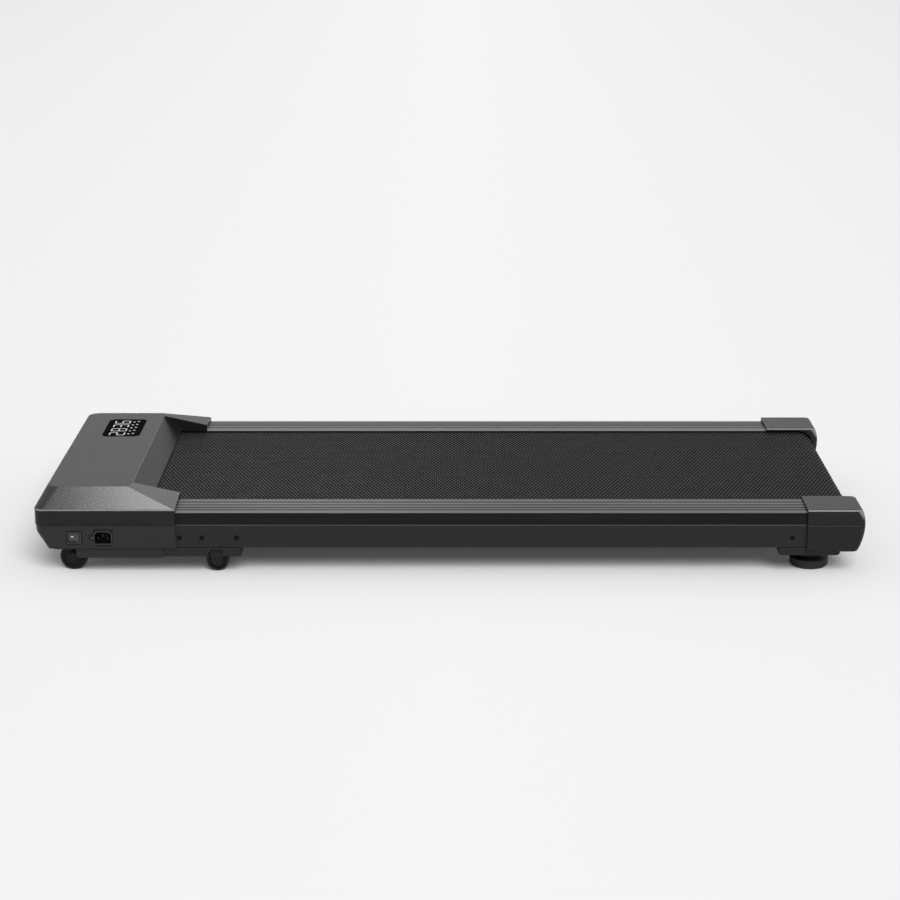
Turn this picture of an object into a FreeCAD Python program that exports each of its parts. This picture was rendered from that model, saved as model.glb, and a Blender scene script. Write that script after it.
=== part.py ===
import FreeCAD, Part
import math
import os

V = FreeCAD.Vector

# Walking pad: a flat belt deck on wheels and levelling feet, with the motor under a low front hood.
# +X points to the rear, +Y to the user's right, +Z up; the floor is z = 0 and the centre is x = y = 0.

# Whole object
length = 1200.0
width = 520.0
ground_clearance = 39.5
overrun = 5.0
seat_gap = 0.05
running_gap = 0.05
rolling_gap = 0.3
free_gap = 0.6

# Side tubes of the steel frame
tube_height = 35.5
tube_width = 30.0
tube_wall = 2.0
tube_corner = 2.0
tube_side_inset = 4.6
tube_front_setback = 130.0
tube_rear_setback = 22.0
tube_end_plate = 4.0

# Cross members between the side tubes
cross_width = 30.0
cross_height = 20.0
cross_wall = 1.5
cross_lift = 11.6
cross_place_shares = (0.27, 0.58, 0.87)

# Deck board, its rubber cushions and its screws
cushion_thickness = 5.0
cushion_radius = 13.0
cushion_side_setback = 25.0
deck_thickness = 13.0
deck_side_gap = 3.4
deck_front_offset = 34.0
deck_rear_offset = 30.0
deck_nose_radius = 4.0
deck_screw_radius = 2.5
deck_screw_head_radius = 5.0
deck_screw_head_depth = 2.6
deck_screw_side_setback = 8.0

# Running belt and its two rollers
belt_side_room = 29.4
belt_thickness = 1.6
belt_deck_gap = 0.3
roller_radius = 21.0
roller_wall = 2.5
roller_overhang = 1.0
roller_hub_depth = 16.0
front_roller_setback = 130.0
rear_roller_setback = 33.0
shaft_radius = 6.0
bearing_radius = 14.0
bearing_width = 8.0
bearing_race = 2.4
bearing_shield_depth = 0.7
shaft_slot_run = 9.0
rear_shaft_reach = 17.0
shaft_flat_half = 4.5

# Foot rails beside the belt
rail_rise = 4.2
rail_fall = 2.8
rail_belt_overlap = 2.6
rail_plate = 2.4
rail_shadow_gap = 0.5
rail_leg = 2.6
rail_leg_inset = 3.0
rail_groove_width = 3.0
rail_groove_depth = 1.2
rail_groove_shares = (0.24, 0.44, 0.62, 0.78)
rail_front_offset = 36.0
rail_cap_overlap = 26.0
rail_lip_drop = 1.8
rail_lip_chamfer = 2.8

# Front hood, upper shell
hood_length = 204.0
hood_wall = 3.0
hood_rise = 27.6
hood_shoulder_drop = 20.6
hood_slope_run = 51.0
hood_bevel_depth = 12.0
hood_corner_radius = 15.0
hood_top_corner_radius = 18.0
hood_edge_radius = 2.2
wing_root_setback = 74.0
wing_belt_overlap = 6.0
wing_tip_drop = 15.1
wing_tip_spread = 4.0
slope_top_setback = 69.0
slope_foot_setback = 42.0
slope_foot_lift = 2.5
mouth_lift = 1.5
mouth_side_gap = 1.6

# Front hood, lower shell
skirt_inset = 1.4
skirt_front_inset = 0.5
skirt_wall = 2.6
skirt_knee_drop = 12.5
skirt_knee_setback = 1.6
skirt_toe_setback = 19.0
skirt_toe_inset = 0.4
skirt_toe_corner_radius = 4.5
skirt_tongue_height = 4.0
skirt_tongue_thickness = 1.2
skirt_lip_width = 14.0
parting_gap = 0.7

# Bottom pan under the motor
pan_length = 127.0
pan_front_setback = 59.0
pan_depth = 15.5
pan_wall = 2.0
pan_side_inset = 6.0
pan_flange_front_setback = 26.0
pan_flange_thickness = 2.5
pan_edge_radius = 4.0
pan_rib_height = 3.0
pan_rib_count = 5
pan_slot_length = 70.0
pan_slot_width = 4.0
pan_slot_pitch = 10.0
pan_slot_count = 6
wheel_well_gap = 4.0

# Front side plates, cross member and motor mounting plate
plate_thickness = 4.0
plate_front_setback = 28.0
plate_rear_run = 140.0
plate_top_gap = 1.0
plate_lift = 2.0
plate_flange_width = 14.0
plate_flange_thickness = 3.0
plate_flange_length = 66.0
plate_hole_radius = 9.0
plate_hole_spacing = 48.0
nose_tube_width = 20.0
nose_tube_height = 22.0
nose_tube_setback = 18.0

# Drive motor, pulleys and drive belt
motor_setback = 72.0
motor_lift = 30.5
motor_radius = 30.0
motor_length = 150.0
motor_bell_length = 16.0
motor_bell_radius = 27.0
motor_boss_radius = 11.0
motor_boss_length = 3.0
motor_plate_thickness = 4.0
motor_plate_gap = 6.0
motor_plate_margin = 5.0
motor_shaft_radius = 4.0
motor_pulley_radius = 12.0
drive_pulley_radius = 27.0
drive_pulley_bore_radius = 9.0
pulley_width = 14.0
pulley_flange_width = 1.6
pulley_flange_height = 2.0
pulley_rib_count = 5
pulley_rib_depth = 0.8
drive_belt_thickness = 2.2
flywheel_radius = 26.0
flywheel_width = 9.0
flywheel_rim = 5.0
flywheel_web = 4.0
flywheel_hub_radius = 8.0
flywheel_gap = 4.0

# Motor controller lying in the pan
control_length = 104.0
control_width = 140.0
control_side_setback = 134.0
heatsink_base = 3.0
heatsink_fin_height = 5.0
heatsink_fin_width = 2.0
heatsink_fin_count = 7
board_thickness = 1.6
capacitor_radius = 9.0
capacitor_height = 24.0
capacitor_spacing = 24.0
capacitor_count = 3
choke_size = 22.0
choke_height = 4.5

# Display window in the hood
display_length = 60.0
display_width = 105.0
display_setback = 81.0
display_side_setback = 92.0
display_corner = 11.0
lens_thickness = 2.0
lens_sink = 0.2
display_frame_width = 4.0
led_block_width = 88.0
led_block_length = 44.0
led_block_height = 6.0

# Mains rocker switch on the hood's left side
rocker_setback = 57.5
side_fitting_drop = 1.25
rocker_bezel_length = 23.0
rocker_bezel_height = 19.4
bezel_thickness = 1.0
bezel_corner = 1.5
rocker_window_length = 17.6
rocker_window_height = 12.4
rocker_body_depth = 20.0
rocker_body_wall = 1.4
rocker_gap = 0.4
rocker_pivot_depth = 5.0
rocker_pivot_radius = 1.4
rocker_pivot_reach = 1.1
rocker_travel = 16.0
rocker_heel = 3.4
rocker_rest_inset = 1.8

# Mains inlet beside the switch
inlet_setback = 99.0
inlet_frame_length = 28.0
inlet_frame_height = 23.6
inlet_cavity_length = 22.6
inlet_cavity_height = 16.4
inlet_cavity_depth = 16.0
inlet_cavity_chamfer = 3.4
inlet_back = 3.0
inlet_ear_reach = 6.0
inlet_ear_radius = 4.0
inlet_pin_width = 2.0
inlet_pin_height = 4.0
inlet_pin_length = 11.2
inlet_pin_spacing = 14.0
inlet_earth_lift = 4.0
inlet_tab_length = 6.0

# Front wheels
front_wheel_radius = 20.0
front_wheel_width = 24.0
front_wheel_setback = 52.0
front_wheel_side_setback = 36.5
wheel_bracket_thickness = 3.0
wheel_bracket_gap = 2.5
wheel_bracket_width = 17.0
wheel_bracket_eye = 11.0
axle_radius = 4.0
axle_head_radius = 6.5
axle_head_height = 3.0

# Middle wheels and their forks
mid_wheel_radius = 16.0
mid_wheel_width = 20.0
mid_wheel_lift = 1.0
mid_wheel_offset = 58.0
mid_wheel_side_setback = 22.4
fork_thickness = 2.5
fork_side_gap = 1.2
fork_length = 24.0
fork_eye = 7.5
mid_axle_radius = 3.0
mid_axle_head_radius = 5.0
mid_axle_head_height = 2.0
wheel_tread_crown = 1.5
wheel_dish_depth = 3.5
wheel_rim_share = 0.78
wheel_hub_share = 0.42

# Brackets under the side tubes
bracket_thickness = 3.0
mid_bracket_gap = 0.6
mid_bracket_end_offset = 93.6
mid_bracket_drop = 12.8
mid_bracket_width = 60.0
mid_bracket_corner = 2.5
mid_slot_length = 21.0
rear_bracket_front_offset = 38.5
rear_bracket_length = 87.3
rear_bracket_drop = 11.0
rear_bracket_width = 70.0
rear_bracket_corner = 3.0

# Levelling feet
foot_setback = 73.0
foot_side_setback = 45.4
foot_radius = 28.0
foot_pad_height = 13.0
foot_edge = 3.0
foot_shoulder_height = 3.0
foot_neck_radius = 17.0
foot_neck_height = 8.0
stud_radius = 5.0
stud_collar_radius = 9.5
stud_collar_height = 6.0
stud_top_reach = 14.0
stud_fit = 0.1
nut_radius = 9.5
nut_height = 8.0

# Rear end caps
cap_length = 84.5
cap_wall = 2.5
cap_rise = 7.3
cap_belt_overlap = 8.0
cap_bottom_drop = 4.0
cap_back_radius = 85.0
cap_brow_radius = 46.0
cap_toe_width = 4.0
cap_toe_lift = 2.6
cap_lip_lift = 2.2
cap_edge_radius = 3.0
cap_corner_radius = 9.0
cap_groove = 0.9
cap_access_radius = 5.0

# Bolts
bolt_radius = 3.0
bolt_head_radius = 3.8
bolt_head_height = 1.2
bolt_height_above_tube = 15.4
bolt_front_offsets = (5.2, 37.5, 87.6)
bolt_rear_offset = 21.0
bolt_length = 9.0
tension_bolt_radius = 3.0
tension_head_radius = 4.5
tension_head_height = 5.0

# Places worked out from the sizes above
front = -length / 2
rear = length / 2
side = width / 2
frame_side = side - tube_side_inset
tube_inner = frame_side - tube_width
frame_bottom = ground_clearance
frame_top = frame_bottom + tube_height
tube_front = front + tube_front_setback
tube_rear = rear - tube_rear_setback
cross_bottom = frame_bottom + cross_lift
cross_top = cross_bottom + cross_height
deck_bottom = cross_top + cushion_thickness
deck_top = deck_bottom + deck_thickness
belt_top = deck_top + belt_deck_gap + belt_thickness
front_roller_x = front + front_roller_setback
rear_roller_x = rear - rear_roller_setback
roller_z = belt_top - belt_thickness - rolling_gap - roller_radius
belt_half = tube_inner - belt_side_room
roller_half = belt_half + roller_overhang
deck_front = front_roller_x + deck_front_offset
deck_rear = rear_roller_x - deck_rear_offset
deck_side = tube_inner - deck_side_gap
rail_inner = belt_half - rail_belt_overlap
rail_inner_top = belt_top + rail_rise
rail_outer_top = rail_inner_top - rail_fall
hood_rear = front + hood_length
hood_top = belt_top + hood_rise
hood_shoulder = hood_top - hood_shoulder_drop
hood_top_half = side - hood_slope_run
wing_inner = belt_half - wing_belt_overlap
wing_tip_inner = wing_inner + wing_tip_spread
display_y = hood_top_half - display_side_setback
cap_front = rear - cap_length
cap_top = belt_top + cap_rise
cap_inner = belt_half - cap_belt_overlap
rail_front = front_roller_x + rail_front_offset
rail_rear = cap_front + rail_cap_overlap
skirt_side = side - skirt_inset
skirt_bottom = frame_bottom
fitting_z = (skirt_bottom + frame_top) / 2 - side_fitting_drop
plate_inner = tube_inner - plate_thickness
plate_front = front + plate_front_setback
plate_rear = front_roller_x + plate_rear_run
plate_bottom = frame_bottom + plate_lift
nose_front = front + nose_tube_setback
nose_rear = nose_front + nose_tube_width
nose_top = frame_top - plate_top_gap
nose_bottom = nose_top - nose_tube_height
motor_x = front + motor_setback
motor_z = frame_bottom + motor_lift
pulley_start = roller_half
pulley_end = pulley_start + pulley_width
motor_plate_end = pulley_start - motor_plate_gap
motor_end = motor_plate_end - motor_plate_thickness
motor_start = motor_end - motor_length
pan_front = front + pan_front_setback
pan_rear = pan_front + pan_length
pan_bottom = frame_bottom - pan_depth
pan_side = side - pan_side_inset
control_y = control_side_setback - pan_side
front_wheel_x = front + front_wheel_setback
front_wheel_y = side - front_wheel_side_setback
mid_wheel_x = hood_rear + mid_wheel_offset
mid_wheel_y = frame_side - mid_wheel_side_setback
mid_wheel_z = mid_wheel_radius + mid_wheel_lift
foot_x = rear - foot_setback
foot_y = frame_side - foot_side_setback
bolt_z = frame_bottom + bolt_height_above_tube
X_AXIS = V(1, 0, 0)
Y_AXIS = V(0, 1, 0)
Z_AXIS = V(0, 0, 1)
PARALLEL_SHARE = 0.999


def box(x0, x1, y0, y1, z0, z1):
    return Part.makeBox(x1 - x0, y1 - y0, z1 - z0, V(x0, y0, z0))


def cylinder_x(radius, x0, x1, y, z):
    return Part.makeCylinder(radius, x1 - x0, V(x0, y, z), X_AXIS)


def cylinder_y(radius, y0, y1, x, z):
    return Part.makeCylinder(radius, y1 - y0, V(x, y0, z), Y_AXIS)


def cylinder_z(radius, z0, z1, x, y):
    return Part.makeCylinder(radius, z1 - z0, V(x, y, z0), Z_AXIS)


def closed(points):
    return Part.makePolygon(points + [points[0]])


def prism_x(points, x0, x1):
    face = Part.Face(closed([V(x0, y, z) for y, z in points]))
    return face.extrude(V(x1 - x0, 0, 0))


def prism_y(points, y0, y1):
    face = Part.Face(closed([V(x, y0, z) for x, z in points]))
    return face.extrude(V(0, y1 - y0, 0))


def turned_y(profile, x, z):
    face = Part.Face(closed([V(x + r, y, z) for r, y in profile]))
    return face.revolve(V(x, 0, z), Y_AXIS, 360)


def turned_z(profile, x, y):
    face = Part.Face(closed([V(x + r, y, z) for r, z in profile]))
    return face.revolve(V(x, y, 0), Z_AXIS, 360)


def hexagon_z(radius, z0, z1, x, y):
    angles = [math.radians(60 * i) for i in range(6)]
    points = [V(x + radius * math.cos(a), y + radius * math.sin(a), z0) for a in angles]
    return Part.Face(closed(points)).extrude(V(0, 0, z1 - z0))


def edges_along(shape, axis):
    return [e for e in shape.Edges if abs(e.tangentAt(e.FirstParameter).dot(axis)) > PARALLEL_SHARE]


def rounded(shape, radius, axis):
    return shape.makeFillet(radius, edges_along(shape, axis))


def mirrored(shape):
    return shape.mirror(V(0, 0, 0), Y_AXIS)


def both_sides(shape):
    return [mirrored(shape), shape]


def one_solid(shape):
    return shape.removeSplitter().Solids[0]


def belt_loop(x0, z0, r0, x1, z1, r1, y0, y1):
    reach = math.hypot(x1 - x0, z1 - z0)
    along = ((x1 - x0) / reach, (z1 - z0) / reach)
    across = (-along[1], along[0])
    lean = (r0 - r1) / reach
    spread = math.sqrt(1 - lean ** 2)

    def tangent(x, z, r, way):
        dx = lean * along[0] + way * spread * across[0]
        dz = lean * along[1] + way * spread * across[1]
        return (x + r * dx, z + r * dz)

    corners = [tangent(x0, z0, r0, 1), tangent(x1, z1, r1, 1)]
    corners += [tangent(x1, z1, r1, -1), tangent(x0, z0, r0, -1)]
    middle = prism_y(corners, y0, y1)
    ends = [cylinder_y(r0, y0, y1, x0, z0), cylinder_y(r1, y0, y1, x1, z1)]
    return one_solid(middle.fuse(ends))


def export(name, shapes):
    solids = [s for shape in shapes for s in shape.Solids]
    shape = solids[0] if len(solids) == 1 else Part.makeCompound(solids)
    shape.exportStep("parts/" + name + ".step")


def export_pair(name, shape):
    export(name + "_left", [mirrored(shape)])
    export(name + "_right", [shape])


# Steel frame

def side_tube():
    outer = box(tube_front, tube_rear, tube_inner, frame_side, frame_bottom, frame_top)
    outer = rounded(outer, tube_corner, X_AXIS)
    inner = box(tube_front - overrun, tube_rear - tube_end_plate, tube_inner + tube_wall,
                frame_side - tube_wall, frame_bottom + tube_wall, frame_top - tube_wall)
    slot_half = shaft_radius + seat_gap
    slot_rise = shaft_flat_half + seat_gap
    slot = box(rear_roller_x - slot_half - shaft_slot_run, rear_roller_x + slot_half, tube_inner - overrun,
               tube_inner + tube_wall + overrun / 2, roller_z - slot_rise, roller_z + slot_rise)
    holes = [cylinder_y(bolt_radius + seat_gap, frame_side - tube_wall - overrun / 2, frame_side + overrun,
                        x, bolt_z) for x in bolt_places()]
    end_hole = cylinder_x(tension_bolt_radius + seat_gap, tube_rear - tube_end_plate - overrun / 2,
                          tube_rear + overrun, tension_bolt_y(), roller_z)
    return outer.cut([inner, slot, end_hole] + holes)


def bolt_places():
    return [hood_rear + offset for offset in bolt_front_offsets] + [cap_front - bolt_rear_offset]


def tension_bolt_y():
    return tube_inner + rear_shaft_reach - shaft_radius


def frame_bolt(x):
    shank = cylinder_y(bolt_radius, frame_side - bolt_length, frame_side, x, bolt_z)
    head = cylinder_y(bolt_head_radius, frame_side, frame_side + bolt_head_height, x, bolt_z)
    return shank.fuse(head)


def cross_places():
    return [tube_front + share * (tube_rear - tube_front) for share in cross_place_shares]


def cross_member(x):
    half = cross_width / 2
    outer = box(x - half, x + half, -tube_inner, tube_inner, cross_bottom, cross_top)
    outer = rounded(outer, cross_wall, Y_AXIS)
    inner = box(x - half + cross_wall, x + half - cross_wall, -tube_inner - overrun, tube_inner + overrun,
                cross_bottom + cross_wall, cross_top - cross_wall)
    screw_holes = [cylinder_z(deck_screw_radius + seat_gap, cross_top - cross_wall - overrun / 2,
                              cross_top + overrun, x, way * deck_screw_y()) for way in (-1, 1)]
    return outer.cut([inner] + screw_holes)


def front_side_plate():
    middle_z = (plate_bottom + nose_top) / 2
    web = prism_y([(plate_front, plate_bottom), (plate_rear, plate_bottom), (plate_rear, middle_z),
                   (plate_rear + middle_z - nose_top, nose_top), (plate_front, nose_top)],
                  plate_inner, tube_inner)
    flange = box(plate_front, plate_front + plate_flange_length, tube_inner - plate_flange_width, tube_inner,
                 plate_bottom, plate_bottom + plate_flange_thickness)
    shaft_hole = cylinder_y(shaft_radius + seat_gap, plate_inner - overrun, tube_inner + overrun,
                            front_roller_x, roller_z)
    lightening = [cylinder_y(plate_hole_radius, plate_inner - overrun, tube_inner + overrun,
                             front_roller_x + plate_hole_spacing * i, middle_z) for i in (1, 2)]
    return one_solid(web.fuse(flange).cut([shaft_hole] + lightening))


def nose_tube():
    outer = box(nose_front, nose_rear, -plate_inner, plate_inner, nose_bottom, nose_top)
    outer = rounded(outer, cross_wall, Y_AXIS)
    inner = box(nose_front + cross_wall, nose_rear - cross_wall, -plate_inner - overrun,
                plate_inner + overrun, nose_bottom + cross_wall, nose_top - cross_wall)
    return outer.cut(inner)


# Deck

def deck_screw_y():
    return deck_side - deck_screw_side_setback


def deck_screw_spots():
    return [(x, way * deck_screw_y()) for x in cross_places() for way in (-1, 1)]


def deck_screw(x, y):
    shank = cylinder_z(deck_screw_radius, cross_top - cross_wall, deck_top, x, y)
    head = Part.makeCone(deck_screw_radius, deck_screw_head_radius, deck_screw_head_depth,
                         V(x, y, deck_top - deck_screw_head_depth))
    return one_solid(shank.fuse(head))


def deck_screw_hole(x, y):
    shank = cylinder_z(deck_screw_radius + seat_gap, deck_bottom - overrun, deck_top + overrun, x, y)
    head = Part.makeCone(deck_screw_radius + seat_gap, deck_screw_head_radius + seat_gap,
                         deck_screw_head_depth, V(x, y, deck_top - deck_screw_head_depth))
    return shank.fuse(head)


def running_deck():
    board = box(deck_front, deck_rear, -deck_side, deck_side, deck_bottom, deck_top)
    noses = [e for e in edges_along(board, Y_AXIS) if e.CenterOfMass.z > deck_bottom + deck_thickness / 2]
    board = board.makeFillet(deck_nose_radius, noses)
    return board.cut([deck_screw_hole(x, y) for x, y in deck_screw_spots()])


def deck_cushions():
    y = deck_side - cushion_side_setback - cushion_radius
    return [cylinder_z(cushion_radius, cross_top, deck_bottom, x, way * y)
            for x in cross_places() for way in (-1, 0, 1)]


# Belt and rollers

def running_belt():
    inside = roller_radius + rolling_gap
    outside = inside + belt_thickness
    half = belt_half
    outer = belt_loop(front_roller_x, roller_z, outside, rear_roller_x, roller_z, outside, -half, half)
    inner = belt_loop(front_roller_x, roller_z, inside, rear_roller_x, roller_z, inside, -half - overrun,
                      half + overrun)
    return outer.cut(inner)


def roller(x):
    tube = cylinder_y(roller_radius, -roller_half, roller_half, x, roller_z)
    middle = cylinder_y(roller_radius - roller_wall, roller_hub_depth - roller_half,
                        roller_half - roller_hub_depth, x, roller_z)
    bore = cylinder_y(shaft_radius + roller_wall, -roller_half - overrun, roller_half + overrun, x, roller_z)
    seat = bearing_radius + seat_gap
    seats = [cylinder_y(seat, -roller_half - overrun, bearing_width - roller_half, x, roller_z),
             cylinder_y(seat, roller_half - bearing_width, roller_half + overrun, x, roller_z)]
    return tube.cut([middle, bore] + seats)


def bearing(x, start):
    bore = shaft_radius + running_gap
    end = start + bearing_width
    low, high = start + bearing_shield_depth, end - bearing_shield_depth
    inner_race = bore + bearing_race
    outer_race = bearing_radius - bearing_race
    profile = [(bore, start), (inner_race, start), (inner_race, low), (outer_race, low), (outer_race, start),
               (bearing_radius, start), (bearing_radius, end), (outer_race, end), (outer_race, high),
               (inner_race, high), (inner_race, end), (bore, end)]
    return turned_y(profile, x, roller_z)


def bearings(x):
    return [bearing(x, -roller_half), bearing(x, roller_half - bearing_width)]


def front_shaft():
    return cylinder_y(shaft_radius, -tube_inner, tube_inner, front_roller_x, roller_z)


def rear_shaft():
    reach = tube_inner + rear_shaft_reach
    shaft = cylinder_y(shaft_radius, -reach, reach, rear_roller_x, roller_z)
    holes = []
    flats = []
    for way in (-1, 1):
        holes.append(cylinder_x(tension_bolt_radius + seat_gap, rear_roller_x - shaft_radius - overrun,
                                rear_roller_x + shaft_radius + overrun, way * tension_bolt_y(), roller_z))
        low, high = sorted((way * (tube_inner - free_gap), way * (reach + overrun)))
        flats += [box(rear_roller_x - 2 * shaft_radius, rear_roller_x + 2 * shaft_radius, low, high,
                      roller_z + shaft_flat_half, roller_z + 2 * shaft_radius),
                  box(rear_roller_x - 2 * shaft_radius, rear_roller_x + 2 * shaft_radius, low, high,
                      roller_z - 2 * shaft_radius, roller_z - shaft_flat_half)]
    return shaft.cut(holes + flats)


def tension_bolt():
    y = tension_bolt_y()
    shank = cylinder_x(tension_bolt_radius, rear_roller_x - 2 * shaft_radius, tube_rear, y, roller_z)
    head = cylinder_x(tension_head_radius, tube_rear, tube_rear + tension_head_height, y, roller_z)
    return shank.fuse(head)


# Drive

def ribbed_pulley(radius, bore, x, z):
    core = [(bore, pulley_start), (radius + pulley_flange_height, pulley_start)]
    ribs_start = pulley_start + pulley_flange_width
    ribs_end = pulley_end - pulley_flange_width
    step = (ribs_end - ribs_start) / pulley_rib_count
    core += [(radius + pulley_flange_height, ribs_start), (radius, ribs_start)]
    for i in range(pulley_rib_count):
        core += [(radius - pulley_rib_depth, ribs_start + step * (i + 0.5))]
        core += [(radius, ribs_start + step * (i + 1))]
    core += [(radius + pulley_flange_height, ribs_end), (radius + pulley_flange_height, pulley_end)]
    core += [(bore, pulley_end)]
    return turned_y(core, x, z)


def drive_belt():
    start = pulley_start + pulley_flange_width + rolling_gap
    end = pulley_end - pulley_flange_width - rolling_gap
    inside = (motor_pulley_radius + rolling_gap, drive_pulley_radius + rolling_gap)
    outside = (inside[0] + drive_belt_thickness, inside[1] + drive_belt_thickness)
    outer = belt_loop(motor_x, motor_z, outside[0], front_roller_x, roller_z, outside[1], start, end)
    inner = belt_loop(motor_x, motor_z, inside[0], front_roller_x, roller_z, inside[1], start - overrun,
                      end + overrun)
    return outer.cut(inner)


def motor_can():
    bore = motor_shaft_radius + running_gap
    bell_start = motor_start + motor_bell_length
    bell_end = motor_end - motor_bell_length
    profile = [(bore, motor_start - motor_boss_length), (motor_boss_radius, motor_start - motor_boss_length),
               (motor_boss_radius, motor_start), (motor_bell_radius, motor_start),
               (motor_bell_radius, bell_start), (motor_radius, bell_start), (motor_radius, bell_end),
               (motor_bell_radius, bell_end), (motor_bell_radius, motor_end), (bore, motor_end)]
    return turned_y(profile, motor_x, motor_z)


def motor_plate():
    reach = motor_boss_radius + motor_plate_margin
    outline = [(nose_rear, nose_bottom), (motor_x + reach, motor_z - reach),
               (motor_x + reach, motor_z + reach), (motor_x - reach, motor_z + reach), (nose_rear, nose_top)]
    plate = prism_y(outline, motor_end, motor_plate_end)
    hole = cylinder_y(motor_shaft_radius + free_gap, motor_end - overrun, motor_plate_end + overrun,
                      motor_x, motor_z)
    return plate.cut(hole)


def motor_shaft():
    start = motor_start - motor_boss_length - flywheel_gap - flywheel_width
    return cylinder_y(motor_shaft_radius, start, pulley_end, motor_x, motor_z)


def flywheel():
    bore = motor_shaft_radius + seat_gap
    end = motor_start - motor_boss_length - flywheel_gap
    start = end - flywheel_width
    web_start = start + (flywheel_width - flywheel_web) / 2
    web_end = web_start + flywheel_web
    rim = flywheel_radius - flywheel_rim
    hub = flywheel_hub_radius
    profile = [(bore, start), (hub, start), (hub, web_start), (rim, web_start), (rim, start),
               (flywheel_radius, start), (flywheel_radius, end), (rim, end), (rim, web_end), (hub, web_end),
               (hub, end), (bore, end)]
    return turned_y(profile, motor_x, motor_z)


# Controller in the pan

def control_span():
    middle = (pan_front + pan_rear) / 2
    return middle - control_length / 2, middle + control_length / 2


def heatsink():
    x0, x1 = control_span()
    y0, y1 = control_y - control_width / 2, control_y + control_width / 2
    bottom = pan_bottom + pan_wall + pan_rib_height
    base = box(x0, x1, y0, y1, bottom, bottom + heatsink_base)
    step = (control_width - heatsink_fin_width) / (heatsink_fin_count - 1)
    fins = [box(x0, x1, y0 + step * i, y0 + step * i + heatsink_fin_width, bottom + heatsink_base,
                bottom + heatsink_base + heatsink_fin_height) for i in range(heatsink_fin_count)]
    return one_solid(base.fuse(fins))


def control_board():
    x0, x1 = control_span()
    y0, y1 = control_y - control_width / 2, control_y + control_width / 2
    bottom = pan_bottom + pan_wall + pan_rib_height + heatsink_base + heatsink_fin_height
    top = bottom + board_thickness
    board = box(x0, x1, y0, y1, bottom, top)
    cans = [cylinder_z(capacitor_radius, top, top + capacitor_height, x0 + 1.5 * capacitor_radius,
                       control_y + capacitor_spacing * (i - (capacitor_count - 1) / 2))
            for i in range(capacitor_count)]
    choke = box(x1 - 2 * choke_size, x1 - choke_size, control_y - choke_size, control_y, top,
                top + choke_height)
    return one_solid(board.fuse(cans + [choke]))


# Foot rail

def foot_rail():
    slope = (rail_inner_top - rail_outer_top) / (frame_side - rail_inner)

    def top_at(y):
        return rail_inner_top - slope * (y - rail_inner)

    lip = rail_inner + rail_plate
    cut = rail_lip_chamfer
    plate = prism_x([(rail_inner, rail_inner_top - rail_plate - rail_lip_drop / 2),
                     (rail_inner, rail_inner_top - cut), (rail_inner + cut, top_at(rail_inner + cut)),
                     (frame_side, rail_outer_top),
                     (frame_side, rail_outer_top - rail_plate), (lip, top_at(lip) - rail_plate)],
                    rail_front, rail_rear)
    skirt = box(rail_front, rail_rear, frame_side - rail_plate, frame_side, frame_top + rail_shadow_gap,
                rail_outer_top - rail_plate / 2)
    leg_places = [tube_inner + rail_leg_inset, frame_side - rail_plate - rail_leg]
    legs = [box(rail_front, rail_rear, y, y + rail_leg, frame_top, top_at(y + rail_leg) - rail_plate / 2)
            for y in leg_places]
    grooves = []
    for share in rail_groove_shares:
        y = rail_inner + share * (frame_side - rail_inner)
        half = rail_groove_width / 2
        grooves.append(prism_x([(y - half, top_at(y) + overrun), (y - half, top_at(y) - rail_groove_depth),
                                (y + half, top_at(y) - rail_groove_depth), (y + half, top_at(y) + overrun)],
                               rail_front - overrun, rail_rear + overrun))
    body = plate.fuse([skirt] + legs)
    return one_solid(body.cut(grooves))


# Front hood

def plan_edges(front_x, half, back_x, corner, z):
    bend = corner * (1 - math.sqrt(0.5))
    near = [V(front_x + corner, -half, z), V(front_x + bend, bend - half, z), V(front_x, corner - half, z)]
    far = [V(p.x, -p.y, z) for p in reversed(near)]
    back = [V(back_x, half, z), V(back_x, -half, z)]
    return [Part.makeLine(back[1], near[0]), Part.Arc(*near).toShape(), Part.makeLine(near[2], far[0]),
            Part.Arc(*far).toShape(), Part.makeLine(far[2], back[0]), Part.makeLine(back[0], back[1])]


def plan_slab(edges, rise):
    return Part.Face(Part.Wire(edges)).extrude(V(0, 0, rise))


def wall_face(low, high):
    if isinstance(low.Curve, Part.Circle):
        return Part.makeRuledSurface(low, high)
    ends = [e.valueAt(p) for e in (low, high) for p in (e.FirstParameter, e.LastParameter)]
    return Part.Face(closed([ends[0], ends[1], ends[3], ends[2]]))


def section_block(sections):
    faces = [Part.Face(Part.Wire(sections[0])), Part.Face(Part.Wire(sections[-1]))]
    for low, high in zip(sections, sections[1:]):
        faces += [wall_face(a, b) for a, b in zip(low, high)]
    return Part.Solid(Part.Shell(faces))


def hood_block(inset, base_z):
    base_front = front + inset
    top_front = front + hood_bevel_depth + inset
    half = side - inset
    top_half = hood_top_half - inset
    back = hood_rear - inset
    corner = hood_corner_radius - inset
    top_corner = hood_top_corner_radius - inset
    sections = [plan_edges(base_front, half, back, corner, base_z),
                plan_edges(base_front, half, back, corner, hood_shoulder - inset / 2),
                plan_edges(top_front, top_half, back, top_corner, hood_top - inset)]
    return section_block(sections)


def wing_height(x, y):
    root_x = hood_rear - wing_root_setback
    across = (hood_shoulder - hood_top + wing_tip_drop) / (side - wing_tip_inner)
    fall = (-wing_tip_drop - across * (wing_tip_inner - hood_top_half)) / wing_root_setback
    return hood_top + fall * (x - root_x) + across * (y - hood_top_half)


def above_wing(inset):
    x0 = hood_rear - wing_root_setback - wing_root_setback / 2
    x1 = hood_rear + overrun
    y0 = wing_inner - overrun
    y1 = side + overrun
    corners = [(x0, y0), (x1, y0), (x1, y1), (x0, y1)]
    face = Part.Face(closed([V(x, y, wing_height(x, y) - inset) for x, y in corners]))
    return face.extrude(V(0, 0, hood_rise + hood_shoulder_drop))


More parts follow.
